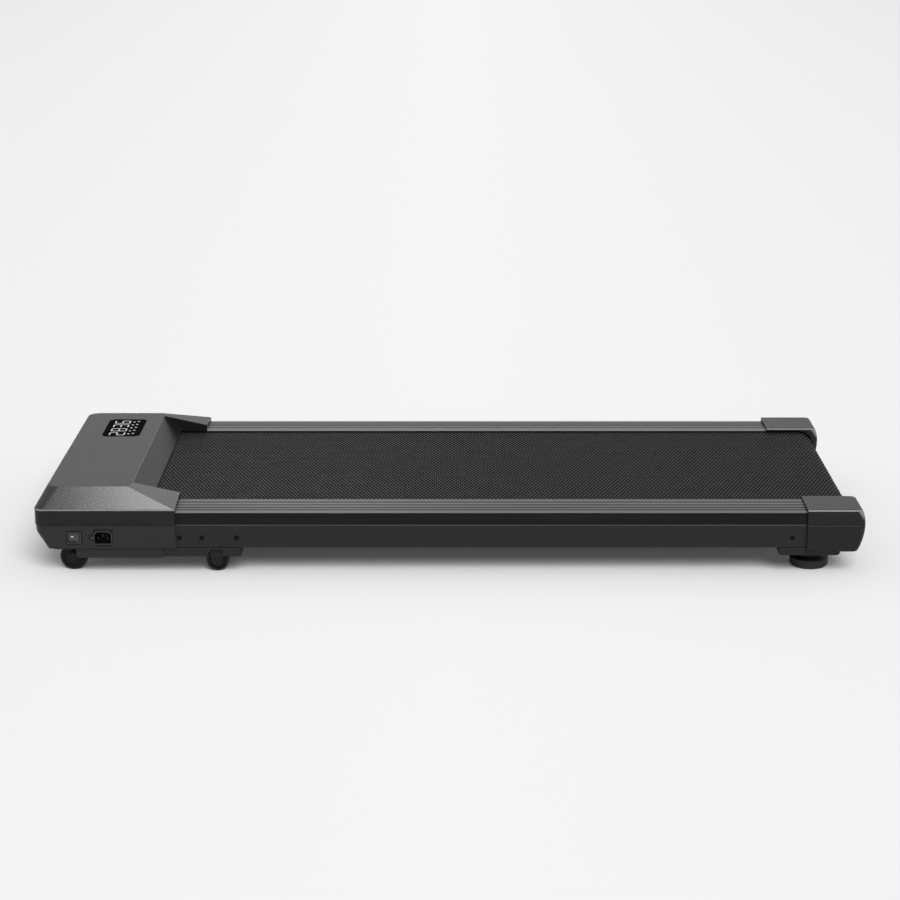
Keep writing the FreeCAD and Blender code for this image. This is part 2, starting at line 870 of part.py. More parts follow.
def belt_bay(inset):
    shift = inset * math.sqrt(2)
    top_x = hood_rear - slope_top_setback - shift
    slope_foot_x = hood_rear - slope_foot_setback - shift
    foot_z = belt_top + slope_foot_lift
    rise = (hood_top - foot_z) / (slope_foot_x - top_x)
    over_x = top_x - overrun / rise
    outline = [(over_x, hood_top + overrun), (slope_foot_x, foot_z), (slope_foot_x, frame_top - overrun),
               (hood_rear + overrun, frame_top - overrun), (hood_rear + overrun, hood_top + overrun)]
    half = wing_inner + inset
    return prism_y(outline, -half, half)


def hood_form(inset, base_z, edge_radius):
    block = hood_block(inset, base_z)
    if edge_radius > 0:
        block = block.makeFillet(edge_radius, hood_soft_edges(block))
    wing = above_wing(inset)
    return block.cut([wing, mirrored(wing), belt_bay(inset)])


def hood_soft_edges(block):
    return [e for e in block.Edges if e.BoundBox.ZMin > frame_top + parting_gap
            and e.BoundBox.ZLength < parting_gap and e.BoundBox.XMin < hood_rear - overrun]


def display_outline(margin, z0, z1):
    x = front + display_setback
    half_length = display_length / 2 + margin
    half_width = display_width / 2 + margin
    block = box(x - half_length, x + half_length, display_y - half_width, display_y + half_width,
                z0, z1)
    return rounded(block, display_corner + margin, Z_AXIS)


def hood_top_shell():
    base_z = frame_top + parting_gap / 2
    outer = hood_form(0, base_z, hood_edge_radius)
    cavity = hood_form(hood_wall, frame_top - overrun, 0)
    mouth_half = belt_half + mouth_side_gap
    mouth = box(hood_rear - wing_root_setback, hood_rear + overrun, -mouth_half, mouth_half,
                frame_top - overrun, belt_top + mouth_lift)
    passage = box(hood_rear - hood_wall - overrun, hood_rear + overrun, wing_inner + hood_wall,
                  side - hood_wall, frame_top - overrun, rail_inner_top + free_gap)
    pocket = display_outline(seat_gap, hood_top - lens_thickness - lens_sink, hood_top + overrun)
    window = display_outline(-display_frame_width, hood_top - hood_wall - overrun, hood_top + overrun)
    return outer.cut([cavity, mouth, passage, mirrored(passage), pocket, window])


def display_lens():
    return display_outline(0, hood_top - lens_thickness - lens_sink, hood_top - lens_sink)


def display_board():
    x = front + display_setback
    top = hood_top - lens_thickness - lens_sink - seat_gap
    ledge = top - led_block_height
    block = box(x - led_block_length / 2, x + led_block_length / 2, display_y - led_block_width / 2,
                display_y + led_block_width / 2, ledge, top)
    board = display_outline(0, ledge - board_thickness, ledge)
    return one_solid(block.fuse(board))


def skirt_form(inset, back_x, bottom_z, top_z):
    knee_z = frame_top - skirt_knee_drop
    half = skirt_side - inset
    start = front + skirt_front_inset + inset
    toe_half = half - skirt_toe_inset
    toe_corner = skirt_toe_corner_radius - inset
    corner = hood_corner_radius - inset
    sections = [plan_edges(start + skirt_toe_setback, toe_half, back_x, toe_corner, bottom_z),
                plan_edges(start + skirt_knee_setback, half, back_x, corner, knee_z),
                plan_edges(start, half, back_x, corner, top_z)]
    return section_block(sections)


def hood_lower_shell():
    top_z = frame_top - parting_gap / 2
    outer = skirt_form(0, hood_rear, skirt_bottom, top_z)
    cavity = skirt_form(skirt_wall, hood_rear + overrun, skirt_bottom - overrun, top_z + overrun)
    thick = hood_wall + rolling_gap
    thin = thick + skirt_tongue_thickness
    tongue_z = top_z - skirt_tongue_height
    tongue_out = plan_edges(front + thick, side - thick, hood_rear, hood_corner_radius - thick, tongue_z)
    tongue_in = plan_edges(front + thin, side - thin, hood_rear + overrun, hood_corner_radius - thin,
                           tongue_z)
    climb = 2 * skirt_tongue_height
    tongue = plan_slab(tongue_out, climb).cut(plan_slab(tongue_in, climb))
    rail_room = box(rail_front - overrun, hood_rear + overrun, -side, side, frame_top - overrun,
                    top_z + overrun)
    tongue = tongue.cut(rail_room)
    toe_x = front + skirt_front_inset + skirt_toe_setback
    lip_half = tube_inner - plate_flange_width - free_gap
    lip = box(toe_x, toe_x + skirt_lip_width, -lip_half, lip_half, skirt_bottom, skirt_bottom + skirt_wall)
    shell = outer.cut(cavity).fuse([tongue, lip])
    return one_solid(shell.cut([rocker_hole(), inlet_hole()]))


# Bottom pan

def wheel_well(grow):
    reach = front_wheel_radius + wheel_well_gap + grow
    inner = bracket_outer_y() - wheel_bracket_thickness - wheel_well_gap
    outer = front_wheel_y + front_wheel_width / 2 + axle_head_height + wheel_well_gap
    return box(front_wheel_x - reach - overrun, front_wheel_x + reach, inner - grow, outer + grow,
               pan_bottom - overrun, frame_bottom + overrun)


def bottom_pan():
    flange_front = front + pan_flange_front_setback
    flange_edges = plan_edges(flange_front, pan_side, pan_rear, skirt_toe_corner_radius,
                              frame_bottom - pan_flange_thickness)
    flange = plan_slab(flange_edges, pan_flange_thickness)
    tray = box(pan_front, pan_rear, -pan_side, pan_side, pan_bottom, frame_bottom)
    lower = [e for e in edges_along(tray, Y_AXIS) if e.CenterOfMass.z < frame_bottom - pan_flange_thickness]
    tray = tray.makeFillet(pan_edge_radius, lower)
    cavity = box(pan_front + pan_wall, pan_rear - pan_wall, pan_wall - pan_side, pan_side - pan_wall,
                 pan_bottom + pan_wall, frame_bottom + overrun)
    wells = both_sides(wheel_well(pan_wall))
    step = 2 * pan_side / (pan_rib_count + 1)
    ribs = [box(pan_front + pan_wall, pan_rear - pan_wall, step * (i + 1) - pan_side - pan_wall / 2,
                step * (i + 1) - pan_side + pan_wall / 2, pan_bottom + pan_wall / 2,
                pan_bottom + pan_wall + pan_rib_height) for i in range(pan_rib_count)]
    pan = tray.fuse(flange).cut(cavity.cut(wells)).fuse(ribs).cut(both_sides(wheel_well(0)) + pan_slots(step))
    return one_solid(pan)


def pan_slots(rib_step):
    middle_x = (pan_front + pan_rear) / 2
    slots = []
    for i in range(pan_slot_count):
        y = rib_step / 2 + pan_slot_pitch * (i - (pan_slot_count - 1) / 2)
        slot = box(middle_x - pan_slot_length / 2, middle_x + pan_slot_length / 2, y - pan_slot_width / 2,
                   y + pan_slot_width / 2, pan_bottom - overrun, pan_bottom + pan_wall + overrun)
        slots.append(rounded(slot, pan_slot_width / 3, Z_AXIS))
    return slots


# Switch and inlet

def side_frame_plate(x, span, height, corner):
    plate = box(x - span / 2, x + span / 2, -skirt_side - bezel_thickness, -skirt_side,
                fitting_z - height / 2, fitting_z + height / 2)
    return rounded(plate, corner, Y_AXIS)


def rocker_x():
    return front + rocker_setback


def rocker_body_half():
    return (rocker_window_length / 2 + rocker_body_wall, rocker_window_height / 2 + rocker_body_wall)


def rocker_hole():
    half_x, half_z = rocker_body_half()
    return box(rocker_x() - half_x - seat_gap, rocker_x() + half_x + seat_gap, -side - overrun,
               skirt_wall + overrun - side, fitting_z - half_z - seat_gap,
               fitting_z + half_z + seat_gap)


def rocker_pivot_y():
    return -skirt_side - bezel_thickness + rocker_pivot_depth


def rocker_housing():
    half_x, half_z = rocker_body_half()
    body = box(rocker_x() - half_x, rocker_x() + half_x, -skirt_side, rocker_body_depth - skirt_side,
               fitting_z - half_z, fitting_z + half_z)
    frame = side_frame_plate(rocker_x(), rocker_bezel_length, rocker_bezel_height, bezel_corner)
    window_x, window_z = rocker_window_length / 2, rocker_window_height / 2
    hollow = box(rocker_x() - window_x, rocker_x() + window_x, -side - overrun,
                 rocker_body_depth - skirt_side - rocker_body_wall, fitting_z - window_z,
                 fitting_z + window_z)
    reach = window_z + rocker_pivot_reach
    pivot = cylinder_z(rocker_pivot_radius + running_gap, fitting_z - reach,
                       fitting_z + reach, rocker_x(), rocker_pivot_y())
    return body.fuse(frame).cut([hollow, pivot])


def rocker_button():
    tilt = math.radians(rocker_travel / 2)
    face_depth = rocker_pivot_depth - rocker_rest_inset
    half = (rocker_window_length / 2 - rocker_gap - face_depth * math.sin(tilt)) * math.cos(tilt)
    pivot_y = rocker_pivot_y()
    drop = half * math.tan(tilt)
    points = [V(-half, -face_depth - drop, 0), V(0, -face_depth, 0), V(half, -face_depth - drop, 0),
              V(half - drop, rocker_heel - rocker_pivot_depth / 2, 0), V(0, rocker_heel, 0),
              V(drop - half, rocker_heel - rocker_pivot_depth / 2, 0)]
    tall = rocker_window_height - 2 * rocker_gap
    key = Part.Face(closed(points)).extrude(V(0, 0, tall))
    key.translate(V(0, 0, -tall / 2))
    reach = rocker_window_height / 2 + rocker_pivot_reach - running_gap
    pin = cylinder_z(rocker_pivot_radius, -reach, reach, 0, 0)
    key = one_solid(key.fuse(pin))
    key.rotate(V(0, 0, 0), Z_AXIS, -rocker_travel / 2)
    key.translate(V(rocker_x(), pivot_y, fitting_z))
    return key


def inlet_x():
    return front + inlet_setback


def inlet_body_half():
    return (inlet_cavity_length / 2 + rocker_body_wall, inlet_cavity_height / 2 + rocker_body_wall)


def inlet_hole():
    half_x, half_z = inlet_body_half()
    return box(inlet_x() - half_x - seat_gap, inlet_x() + half_x + seat_gap, -side - overrun,
               skirt_wall + overrun - side, fitting_z - half_z - seat_gap,
               fitting_z + half_z + seat_gap)


def inlet_cavity():
    half_x, half_z = inlet_cavity_length / 2, inlet_cavity_height / 2
    cut = inlet_cavity_chamfer
    low, high = fitting_z - half_z, fitting_z + half_z
    left, right = inlet_x() - half_x, inlet_x() + half_x
    outline = [(left, low), (right, low), (right, high - cut), (right - cut, high), (left + cut, high),
               (left, high - cut)]
    start = -skirt_side - bezel_thickness
    return prism_y(outline, start - overrun, start + inlet_cavity_depth)


def inlet_floor_y():
    return inlet_cavity_depth - skirt_side - bezel_thickness


def inlet_body():
    half_x, half_z = inlet_body_half()
    body = box(inlet_x() - half_x, inlet_x() + half_x, -skirt_side, inlet_floor_y() + inlet_back,
               fitting_z - half_z, fitting_z + half_z)
    frame = side_frame_plate(inlet_x(), inlet_frame_length, inlet_frame_height, bezel_corner)
    ear_x = inlet_x() - inlet_frame_length / 2 - inlet_ear_reach + inlet_ear_radius
    low, high = -skirt_side - bezel_thickness, -skirt_side
    ear = cylinder_y(inlet_ear_radius, low, high, ear_x, fitting_z)
    web_half = inlet_frame_height / 2 - bezel_corner
    web = prism_y([(ear_x, fitting_z - inlet_ear_radius), (ear_x, fitting_z + inlet_ear_radius),
                   (inlet_x(), fitting_z + web_half), (inlet_x(), fitting_z - web_half)], low, high)
    slots = [pin_block(place, seat_gap, inlet_floor_y() - overrun, inlet_floor_y() + inlet_back + overrun)
             for place in pin_places()]
    return one_solid(body.fuse([frame, ear, web]).cut([inlet_cavity()] + slots))


def pin_places():
    return [(-inlet_pin_spacing / 2, 0), (0, inlet_earth_lift), (inlet_pin_spacing / 2, 0)]


def pin_block(place, margin, y0, y1):
    x = inlet_x() + place[0]
    z = fitting_z - inlet_earth_lift / 2 + place[1]
    half_x, half_z = inlet_pin_width / 2 + margin, inlet_pin_height / 2 + margin
    return box(x - half_x, x + half_x, y0, y1, z - half_z, z + half_z)


def inlet_pins():
    y = inlet_floor_y()
    tab_end = y + inlet_back + inlet_tab_length
    return [pin_block(place, 0, y - inlet_pin_length, tab_end) for place in pin_places()]


# Wheels

def wheel(radius, span, bore, x, y, z):
    rim = radius * wheel_rim_share
    hub = radius * wheel_hub_share
    low, high = y - span / 2, y + span / 2
    dish_low, dish_high = low + wheel_dish_depth, high - wheel_dish_depth
    crown = wheel_tread_crown
    profile = [(bore, low), (hub, low), (hub, dish_low), (rim, dish_low), (rim, low), (radius - crown, low),
               (radius, low + crown), (radius, high - crown), (radius - crown, high), (rim, high),
               (rim, dish_high), (hub, dish_high), (hub, high), (bore, high)]
    return turned_y(profile, x, z)


def front_wheel():
    return wheel(front_wheel_radius, front_wheel_width, axle_radius + running_gap, front_wheel_x,
                 front_wheel_y, front_wheel_radius)


def bracket_outer_y():
    return front_wheel_y - front_wheel_width / 2 - wheel_bracket_gap


def front_wheel_bracket():
    outer_y = bracket_outer_y()
    inner_y = outer_y - wheel_bracket_thickness
    foot = front_wheel_x + wheel_bracket_eye
    arm = prism_y([(nose_rear, nose_top), (nose_rear + wheel_bracket_width, nose_top),
                   (nose_rear + wheel_bracket_width, nose_bottom), (foot, front_wheel_radius),
                   (front_wheel_x - wheel_bracket_eye, front_wheel_radius), (nose_rear, nose_bottom)],
                  inner_y, outer_y)
    eye = cylinder_y(wheel_bracket_eye, inner_y, outer_y, front_wheel_x, front_wheel_radius)
    hole = cylinder_y(axle_radius + seat_gap, inner_y - overrun, outer_y + overrun, front_wheel_x,
                      front_wheel_radius)
    return one_solid(arm.fuse(eye).cut(hole))


def front_axle():
    start = bracket_outer_y() - wheel_bracket_thickness
    end = front_wheel_y + front_wheel_width / 2 + rolling_gap
    pin = cylinder_y(axle_radius, start, end, front_wheel_x, front_wheel_radius)
    head = cylinder_y(axle_head_radius, end, end + axle_head_height, front_wheel_x, front_wheel_radius)
    collar_end = bracket_outer_y() + wheel_bracket_gap - rolling_gap
    collar = cylinder_y(axle_head_radius, bracket_outer_y(), collar_end, front_wheel_x, front_wheel_radius)
    return one_solid(pin.fuse([head, collar]))


def mid_wheel():
    return wheel(mid_wheel_radius, mid_wheel_width, mid_axle_radius + running_gap, mid_wheel_x, mid_wheel_y,
                 mid_wheel_z)


def fork_top():
    return frame_bottom - bracket_thickness


def mid_fork():
    gap = mid_wheel_width / 2 + fork_side_gap
    top = fork_top()
    half = fork_length / 2
    hole = cylinder_y(mid_axle_radius + seat_gap, mid_wheel_y - gap - 2 * fork_thickness,
                      mid_wheel_y + gap + 2 * fork_thickness, mid_wheel_x, mid_wheel_z)
    cheeks = []
    for inner_y in (mid_wheel_y - gap - fork_thickness, mid_wheel_y + gap):
        outer_y = inner_y + fork_thickness
        cheeks.append(prism_y([(mid_wheel_x - half, top), (mid_wheel_x + half, top),
                               (mid_wheel_x + fork_eye, mid_wheel_z), (mid_wheel_x - fork_eye, mid_wheel_z)],
                              inner_y, outer_y))
        cheeks.append(cylinder_y(fork_eye, inner_y, outer_y, mid_wheel_x, mid_wheel_z))
    yoke = box(mid_wheel_x - half, mid_wheel_x + half, mid_wheel_y - gap - fork_thickness,
               mid_wheel_y + gap + fork_thickness, top - fork_thickness, top)
    return one_solid(yoke.fuse(cheeks).cut(hole))


def mid_axle():
    reach = mid_wheel_width / 2 + fork_side_gap + fork_thickness
    low, high = mid_wheel_y - reach, mid_wheel_y + reach
    pin = cylinder_y(mid_axle_radius, low, high, mid_wheel_x, mid_wheel_z)
    heads = [cylinder_y(mid_axle_head_radius, low - mid_axle_head_height, low, mid_wheel_x, mid_wheel_z),
             cylinder_y(mid_axle_head_radius, high, high + mid_axle_head_height, mid_wheel_x, mid_wheel_z)]
    return one_solid(pin.fuse(heads))


def mid_bracket():
    start = pan_rear + mid_bracket_gap
    end = hood_rear + mid_bracket_end_offset
    bottom = frame_bottom - mid_bracket_drop
    skirt = box(start, end, frame_side - bracket_thickness, frame_side, bottom, frame_bottom)
    flange = box(start, end, frame_side - mid_bracket_width, frame_side, frame_bottom - bracket_thickness,
                 frame_bottom)
    slot = box(mid_wheel_x - fork_length / 2, mid_wheel_x - fork_length / 2 + mid_slot_length,
               frame_side - bracket_thickness - overrun, frame_side + overrun, bottom - overrun,
               frame_bottom - bracket_thickness)
    end_wall = box(end - bracket_thickness, end, frame_side - mid_bracket_width, frame_side, bottom,
                   frame_bottom)
    folded = one_solid(skirt.fuse([flange, end_wall]))
    fold = [e for e in edges_along(folded, Z_AXIS) if e.BoundBox.YMin > frame_side - seat_gap
            and e.BoundBox.XMin > end - seat_gap]
    return folded.makeFillet(mid_bracket_corner, fold).cut(slot)


# Rear brackets and levelling feet

def rear_bracket():
    start = cap_front - rear_bracket_front_offset
    end = start + rear_bracket_length
    bottom = frame_bottom - rear_bracket_drop
    under = frame_bottom - bracket_thickness
    skirt = prism_y([(start, bottom), (end - rear_bracket_corner, bottom),
                     (end, bottom + rear_bracket_corner), (end, frame_bottom), (start, frame_bottom)],
                    frame_side - bracket_thickness, frame_side)
    flange = box(start, end, frame_side - rear_bracket_width, frame_side, under, frame_bottom)
    end_wall = box(start, start + bracket_thickness, frame_side - rear_bracket_width, frame_side, bottom,
                   frame_bottom)
    hole = cylinder_z(stud_radius + stud_fit, under - overrun, frame_bottom + overrun, foot_x, foot_y)
    return one_solid(skirt.fuse([flange, end_wall]).cut(hole))


def foot_pad_top():
    return foot_pad_height + foot_shoulder_height + foot_neck_height


def foot_pad():
    shoulder = foot_pad_height + foot_shoulder_height
    profile = [(0, 0), (foot_radius - foot_edge, 0), (foot_radius, foot_edge), (foot_radius, foot_pad_height),
               (foot_neck_radius, shoulder), (foot_neck_radius, foot_pad_top()), (0, foot_pad_top())]
    return turned_z(profile, foot_x, foot_y)


def foot_stud():
    collar_top = foot_pad_top() + stud_collar_height
    collar = hexagon_z(stud_collar_radius, foot_pad_top(), collar_top, foot_x, foot_y)
    shank = cylinder_z(stud_radius, collar_top, frame_bottom + stud_top_reach, foot_x, foot_y)
    return one_solid(collar.fuse(shank))


def foot_nut():
    nut = hexagon_z(nut_radius, frame_bottom, frame_bottom + nut_height, foot_x, foot_y)
    return nut.cut(cylinder_z(stud_radius + stud_fit, frame_bottom - overrun,
                              frame_bottom + nut_height + overrun, foot_x, foot_y))


# Rear end caps

def cap_face(inset, front_x, bottom_z, y):
    top_z = cap_top - inset
    toe_z = bottom_z + cap_toe_lift

    def back_spot(z):
        radius = cap_brow_radius if z > frame_top else cap_back_radius
        return V(rear - radius + math.sqrt((radius - inset) ** 2 - (z - frame_top) ** 2), y, z)

    toe, crest, crown = back_spot(toe_z), back_spot(frame_top), back_spot(top_z)
    front_edge = [V(front_x, y, top_z), V(front_x, y, bottom_z)]
    outline = [crown] + front_edge + [V(toe.x - cap_toe_width, y, bottom_z), toe]
    back = [Part.Arc(toe, back_spot((toe_z + frame_top) / 2), crest).toShape(),
            Part.Arc(crest, back_spot((frame_top + top_z) / 2), crown).toShape()]
    return Part.Face(Part.Wire(Part.makePolygon(outline).Edges + back))


def cap_form(inset, front_x, bottom_z, inner_y):
    form = cap_face(inset, front_x, bottom_z, inner_y).extrude(V(0, side - inset - inner_y, 0))
    back = [e for e in form.Edges if e.BoundBox.YLength < overrun and e.BoundBox.ZLength > cap_rise
            and e.BoundBox.XMin > rear - cap_length / 2]
    return form.makeFillet(cap_corner_radius - inset, back)


def belt_gate(bottom_z):
    reach = roller_radius + rolling_gap + belt_thickness + cap_lip_lift
    y0, y1 = cap_inner - overrun, cap_inner + cap_wall + overrun
    upper = box(cap_front - overrun, rear_roller_x, y0, y1, bottom_z, belt_top + cap_lip_lift)
    lower = box(cap_front - overrun, rear_roller_x + reach, y0, y1, bottom_z, roller_z)
    return upper.fuse([lower, cylinder_y(reach, y0, y1, rear_roller_x, roller_z)])


def end_cap():
    bottom = frame_bottom - cap_bottom_drop
    outer = cap_form(0, cap_front, bottom, cap_inner)
    top_rim = [e for e in outer.Edges if e.BoundBox.ZMin > cap_top - overrun / 2
               and e.BoundBox.XMax > cap_front + overrun]
    outer = outer.makeFillet(cap_edge_radius, top_rim)
    cavity = cap_form(cap_wall, cap_front - overrun, bottom - overrun, cap_inner + cap_wall)
    band = box(cap_front - overrun, rear + overrun, cap_inner + cap_corner_radius, side + overrun,
               frame_top - cap_groove, frame_top + cap_groove)
    groove = band.cut(cap_form(cap_groove, cap_front - 2 * overrun, bottom, cap_inner))
    access = cylinder_x(cap_access_radius, rear - cap_length / 2, rear + overrun, tension_bolt_y(), roller_z)
    return one_solid(outer.cut([cavity, belt_gate(bottom - overrun), groove, access]))


os.makedirs("parts", exist_ok=True)

export_pair("side_tube", side_tube())
export("deck_cross_members", [cross_member(x) for x in cross_places()])
export_pair("front_side_plate", front_side_plate())
export("nose_tube", [nose_tube()])
export("frame_bolts", [b for x in bolt_places() for b in both_sides(frame_bolt(x))])
export("running_deck", [running_deck()])
export("deck_cushions", deck_cushions())
export("deck_screws", [deck_screw(x, y) for x, y in deck_screw_spots()])
export("running_belt", [running_belt()])
export("front_roller", [roller(front_roller_x)])
export("front_roller_bearings", bearings(front_roller_x))
export("front_roller_shaft", [front_shaft()])
export("rear_roller", [roller(rear_roller_x)])
export("rear_roller_bearings", bearings(rear_roller_x))
export("rear_roller_shaft", [rear_shaft()])
export("tension_bolts", both_sides(tension_bolt()))
drive_bore = drive_pulley_bore_radius
export("drive_pulley", [ribbed_pulley(drive_pulley_radius, drive_bore, front_roller_x, roller_z)])
motor_bore = motor_shaft_radius + seat_gap
export("motor_pulley", [ribbed_pulley(motor_pulley_radius, motor_bore, motor_x, motor_z)])
export("drive_belt", [drive_belt()])
export("motor_can", [motor_can()])
export("motor_plate", [motor_plate()])
export("motor_shaft", [motor_shaft()])
export("motor_flywheel", [flywheel()])
export("control_heatsink", [heatsink()])
export("control_board", [control_board()])
export_pair("foot_rail", foot_rail())
export("hood_top_shell", [hood_top_shell()])
export("hood_lower_shell", [hood_lower_shell()])
export("bottom_pan", [bottom_pan()])
export("display_lens", [display_lens()])
export("display_board", [display_board()])
export("rocker_housing", [rocker_housing()])
export("rocker_button", [rocker_button()])
export("inlet_body", [inlet_body()])
export("inlet_pins", inlet_pins())
export_pair("front_wheel", front_wheel())
export("front_wheel_brackets", both_sides(front_wheel_bracket()))
export("front_wheel_axles", both_sides(front_axle()))
export_pair("mid_wheel", mid_wheel())
export("mid_wheel_forks", both_sides(mid_fork()))
export("mid_wheel_axles", both_sides(mid_axle()))
export_pair("mid_bracket", mid_bracket())
export_pair("rear_bracket", rear_bracket())
export_pair("foot_pad", foot_pad())
export_pair("foot_stud", foot_stud())
export("foot_nuts", both_sides(foot_nut()))
export_pair("end_cap", end_cap())
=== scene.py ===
import math

import bmesh
import bpy
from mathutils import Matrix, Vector
from mathutils.bvhtree import BVHTree


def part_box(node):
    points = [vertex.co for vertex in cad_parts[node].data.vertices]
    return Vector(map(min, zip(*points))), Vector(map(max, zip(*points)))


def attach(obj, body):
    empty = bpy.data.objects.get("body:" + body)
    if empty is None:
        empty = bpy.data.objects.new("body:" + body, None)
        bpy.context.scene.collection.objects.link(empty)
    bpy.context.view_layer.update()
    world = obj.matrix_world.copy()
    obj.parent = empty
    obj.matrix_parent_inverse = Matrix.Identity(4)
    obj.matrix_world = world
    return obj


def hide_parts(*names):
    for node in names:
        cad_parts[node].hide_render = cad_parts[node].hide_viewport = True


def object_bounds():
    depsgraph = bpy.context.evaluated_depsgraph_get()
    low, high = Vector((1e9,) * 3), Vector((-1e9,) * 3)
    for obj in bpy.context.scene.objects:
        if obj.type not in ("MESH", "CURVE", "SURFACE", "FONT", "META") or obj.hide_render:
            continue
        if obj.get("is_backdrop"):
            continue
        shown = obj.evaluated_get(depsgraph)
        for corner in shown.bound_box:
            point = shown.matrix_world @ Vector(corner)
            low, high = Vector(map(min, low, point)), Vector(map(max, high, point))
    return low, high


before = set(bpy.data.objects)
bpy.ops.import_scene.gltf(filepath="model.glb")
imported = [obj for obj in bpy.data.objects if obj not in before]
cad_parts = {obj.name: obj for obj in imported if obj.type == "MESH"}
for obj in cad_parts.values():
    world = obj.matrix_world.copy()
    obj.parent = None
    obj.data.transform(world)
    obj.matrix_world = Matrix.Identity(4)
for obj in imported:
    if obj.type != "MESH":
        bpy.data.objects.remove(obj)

cad_low, cad_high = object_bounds()

# Steel frame: side tubes, cross members, front side plates, nose tube, motor plate, brackets and forks.
# Cut and welded mild steel, sprayed with black polyester powder and baked,
# which leaves a satin coat with a fine orange peel and a softened edge.
COAT_EDGE = 0.0012
FINE_DETAIL = 3.0
BROAD_DETAIL = 5.0
BROAD_GRAIN_SHARE = 0.025
TONE_STOPS = (0.3, 0.7)
GLOSS_SPREAD = (0.35, 0.65)
EDGE_SAMPLES = 4

# Painted highlight: open corners that face up are painted lighter, by how far the rounded normal leans from
# the flat one, and so are round shoulders that face both up and to a side, where light would catch them.
# Each pair is the range over which that sets in.
CORNER_BEND = (0.94, 0.995)
CORNER_RISING = (0.3, 0.6)
CORNER_OPEN = (0.6, 0.9)
CORNER_REACH = 0.004
CORNER_HIGHLIGHT_SHARE = 0.8
SHOULDER_RISING = (0.1, 0.25)
SHOULDER_FLAT = (0.8, 0.9)
SHOULDER_OUTWARD = (0.42, 0.5)


def feed(tree, socket, value):
    """Gives a socket another node's output, or a plain value."""
    if isinstance(value, bpy.types.NodeSocket):
        tree.links.new(value, socket)
    else:
        socket.default_value = value


def remap(tree, value, spread, result):
    """Carries a value from one range to another, and holds it at the ends."""
    carry = tree.nodes.new("ShaderNodeMapRange")
    carry.inputs["From Min"].default_value, carry.inputs["From Max"].default_value = spread
    carry.inputs["To Min"].default_value, carry.inputs["To Max"].default_value = result
    tree.links.new(value, carry.inputs["Value"])
    return carry.outputs["Result"]


def combine(tree, operation, *values):
    """Works out one sum of node outputs and plain numbers."""
    step = tree.nodes.new("ShaderNodeMath")
    step.operation = operation
    for socket, value in zip(step.inputs, values):
        feed(tree, socket, value)
    return step.outputs["Value"]


def mix(tree, data_type, share, first, second):
    """Mixes two numbers or two colours, with the given share of the second."""
    blend = tree.nodes.new("ShaderNodeMix")
    blend.data_type = data_type
    kind = "RGBA" if data_type == "RGBA" else "VALUE"
    ends = [socket for socket in blend.inputs if socket.type == kind and socket.name != "Factor"]
    for socket, value in zip(ends, (first, second)):
        feed(tree, socket, value)
    tree.links.new(share, blend.inputs["Factor"])
    return next(socket for socket in blend.outputs if socket.type == kind)


def stretched(tree, place, stretch):
    """Spots on the object, scaled along each axis so that a pattern is drawn out along it."""
    pull = tree.nodes.new("ShaderNodeMapping")
    pull.inputs["Scale"].default_value = stretch
    tree.links.new(place.outputs["Object"], pull.inputs["Vector"])
    return pull.outputs["Vector"]


def cloudy(tree, spots, scale, detail):
    """A cloudy pattern with so many bumps per metre."""
    pattern = tree.nodes.new("ShaderNodeTexNoise")
    pattern.inputs["Scale"].default_value = scale
    pattern.inputs["Detail"].default_value = detail
    tree.links.new(spots, pattern.inputs["Vector"])
    return pattern.outputs["Fac"]


def toned(tree, value, stops, colours):
    """The colour of a value that runs between two tones."""
    ramp = tree.nodes.new("ShaderNodeValToRGB")
    for stop, position, colour in zip(ramp.color_ramp.elements, stops, colours):
        stop.position = position
        stop.color = (*colour, 1.0)
    tree.links.new(value, ramp.inputs["Fac"])
    return ramp.outputs["Color"]


def facing(tree, place):
    """How far a spot faces along X, Y and Z."""
    parts = tree.nodes.new("ShaderNodeSeparateXYZ")
    tree.links.new(place.outputs["Normal"], parts.inputs["Vector"])
    return parts.outputs


def edge_highlight(tree, place, rounded):
    """How much painted highlight a spot gets on upward corners and sideways shoulders, from 0 to 1."""
    flat_face = tree.nodes.new("ShaderNodeNewGeometry")
    bend = tree.nodes.new("ShaderNodeVectorMath")
    bend.operation = "DOT_PRODUCT"
    tree.links.new(rounded, bend.inputs[0])
    tree.links.new(flat_face.outputs["Normal"], bend.inputs[1])
    sharp = remap(tree, bend.outputs["Value"], CORNER_BEND, (1.0, 0.0))
    faces = facing(tree, place)
    upward = remap(tree, faces["Z"], CORNER_RISING, (0.0, CORNER_HIGHLIGHT_SHARE))
    hollow = tree.nodes.new("ShaderNodeAmbientOcclusion")
    hollow.samples = EDGE_SAMPLES
    hollow.inputs["Distance"].default_value = CORNER_REACH
    bare = remap(tree, hollow.outputs["AO"], CORNER_OPEN, (0.0, 1.0))
    corner = combine(tree, "MULTIPLY", sharp, combine(tree, "MULTIPLY", upward, bare))
    rising = remap(tree, faces["Z"], SHOULDER_RISING, (0.0, 1.0))
    tilted = remap(tree, faces["Z"], SHOULDER_FLAT, (1.0, 0.0))
    outward = remap(tree, combine(tree, "ABSOLUTE", faces["Y"]), SHOULDER_OUTWARD, (0.0, 1.0))
    shoulder = combine(tree, "MINIMUM", combine(tree, "MINIMUM", rising, tilted), outward)
    return combine(tree, "MAXIMUM", shoulder, corner)


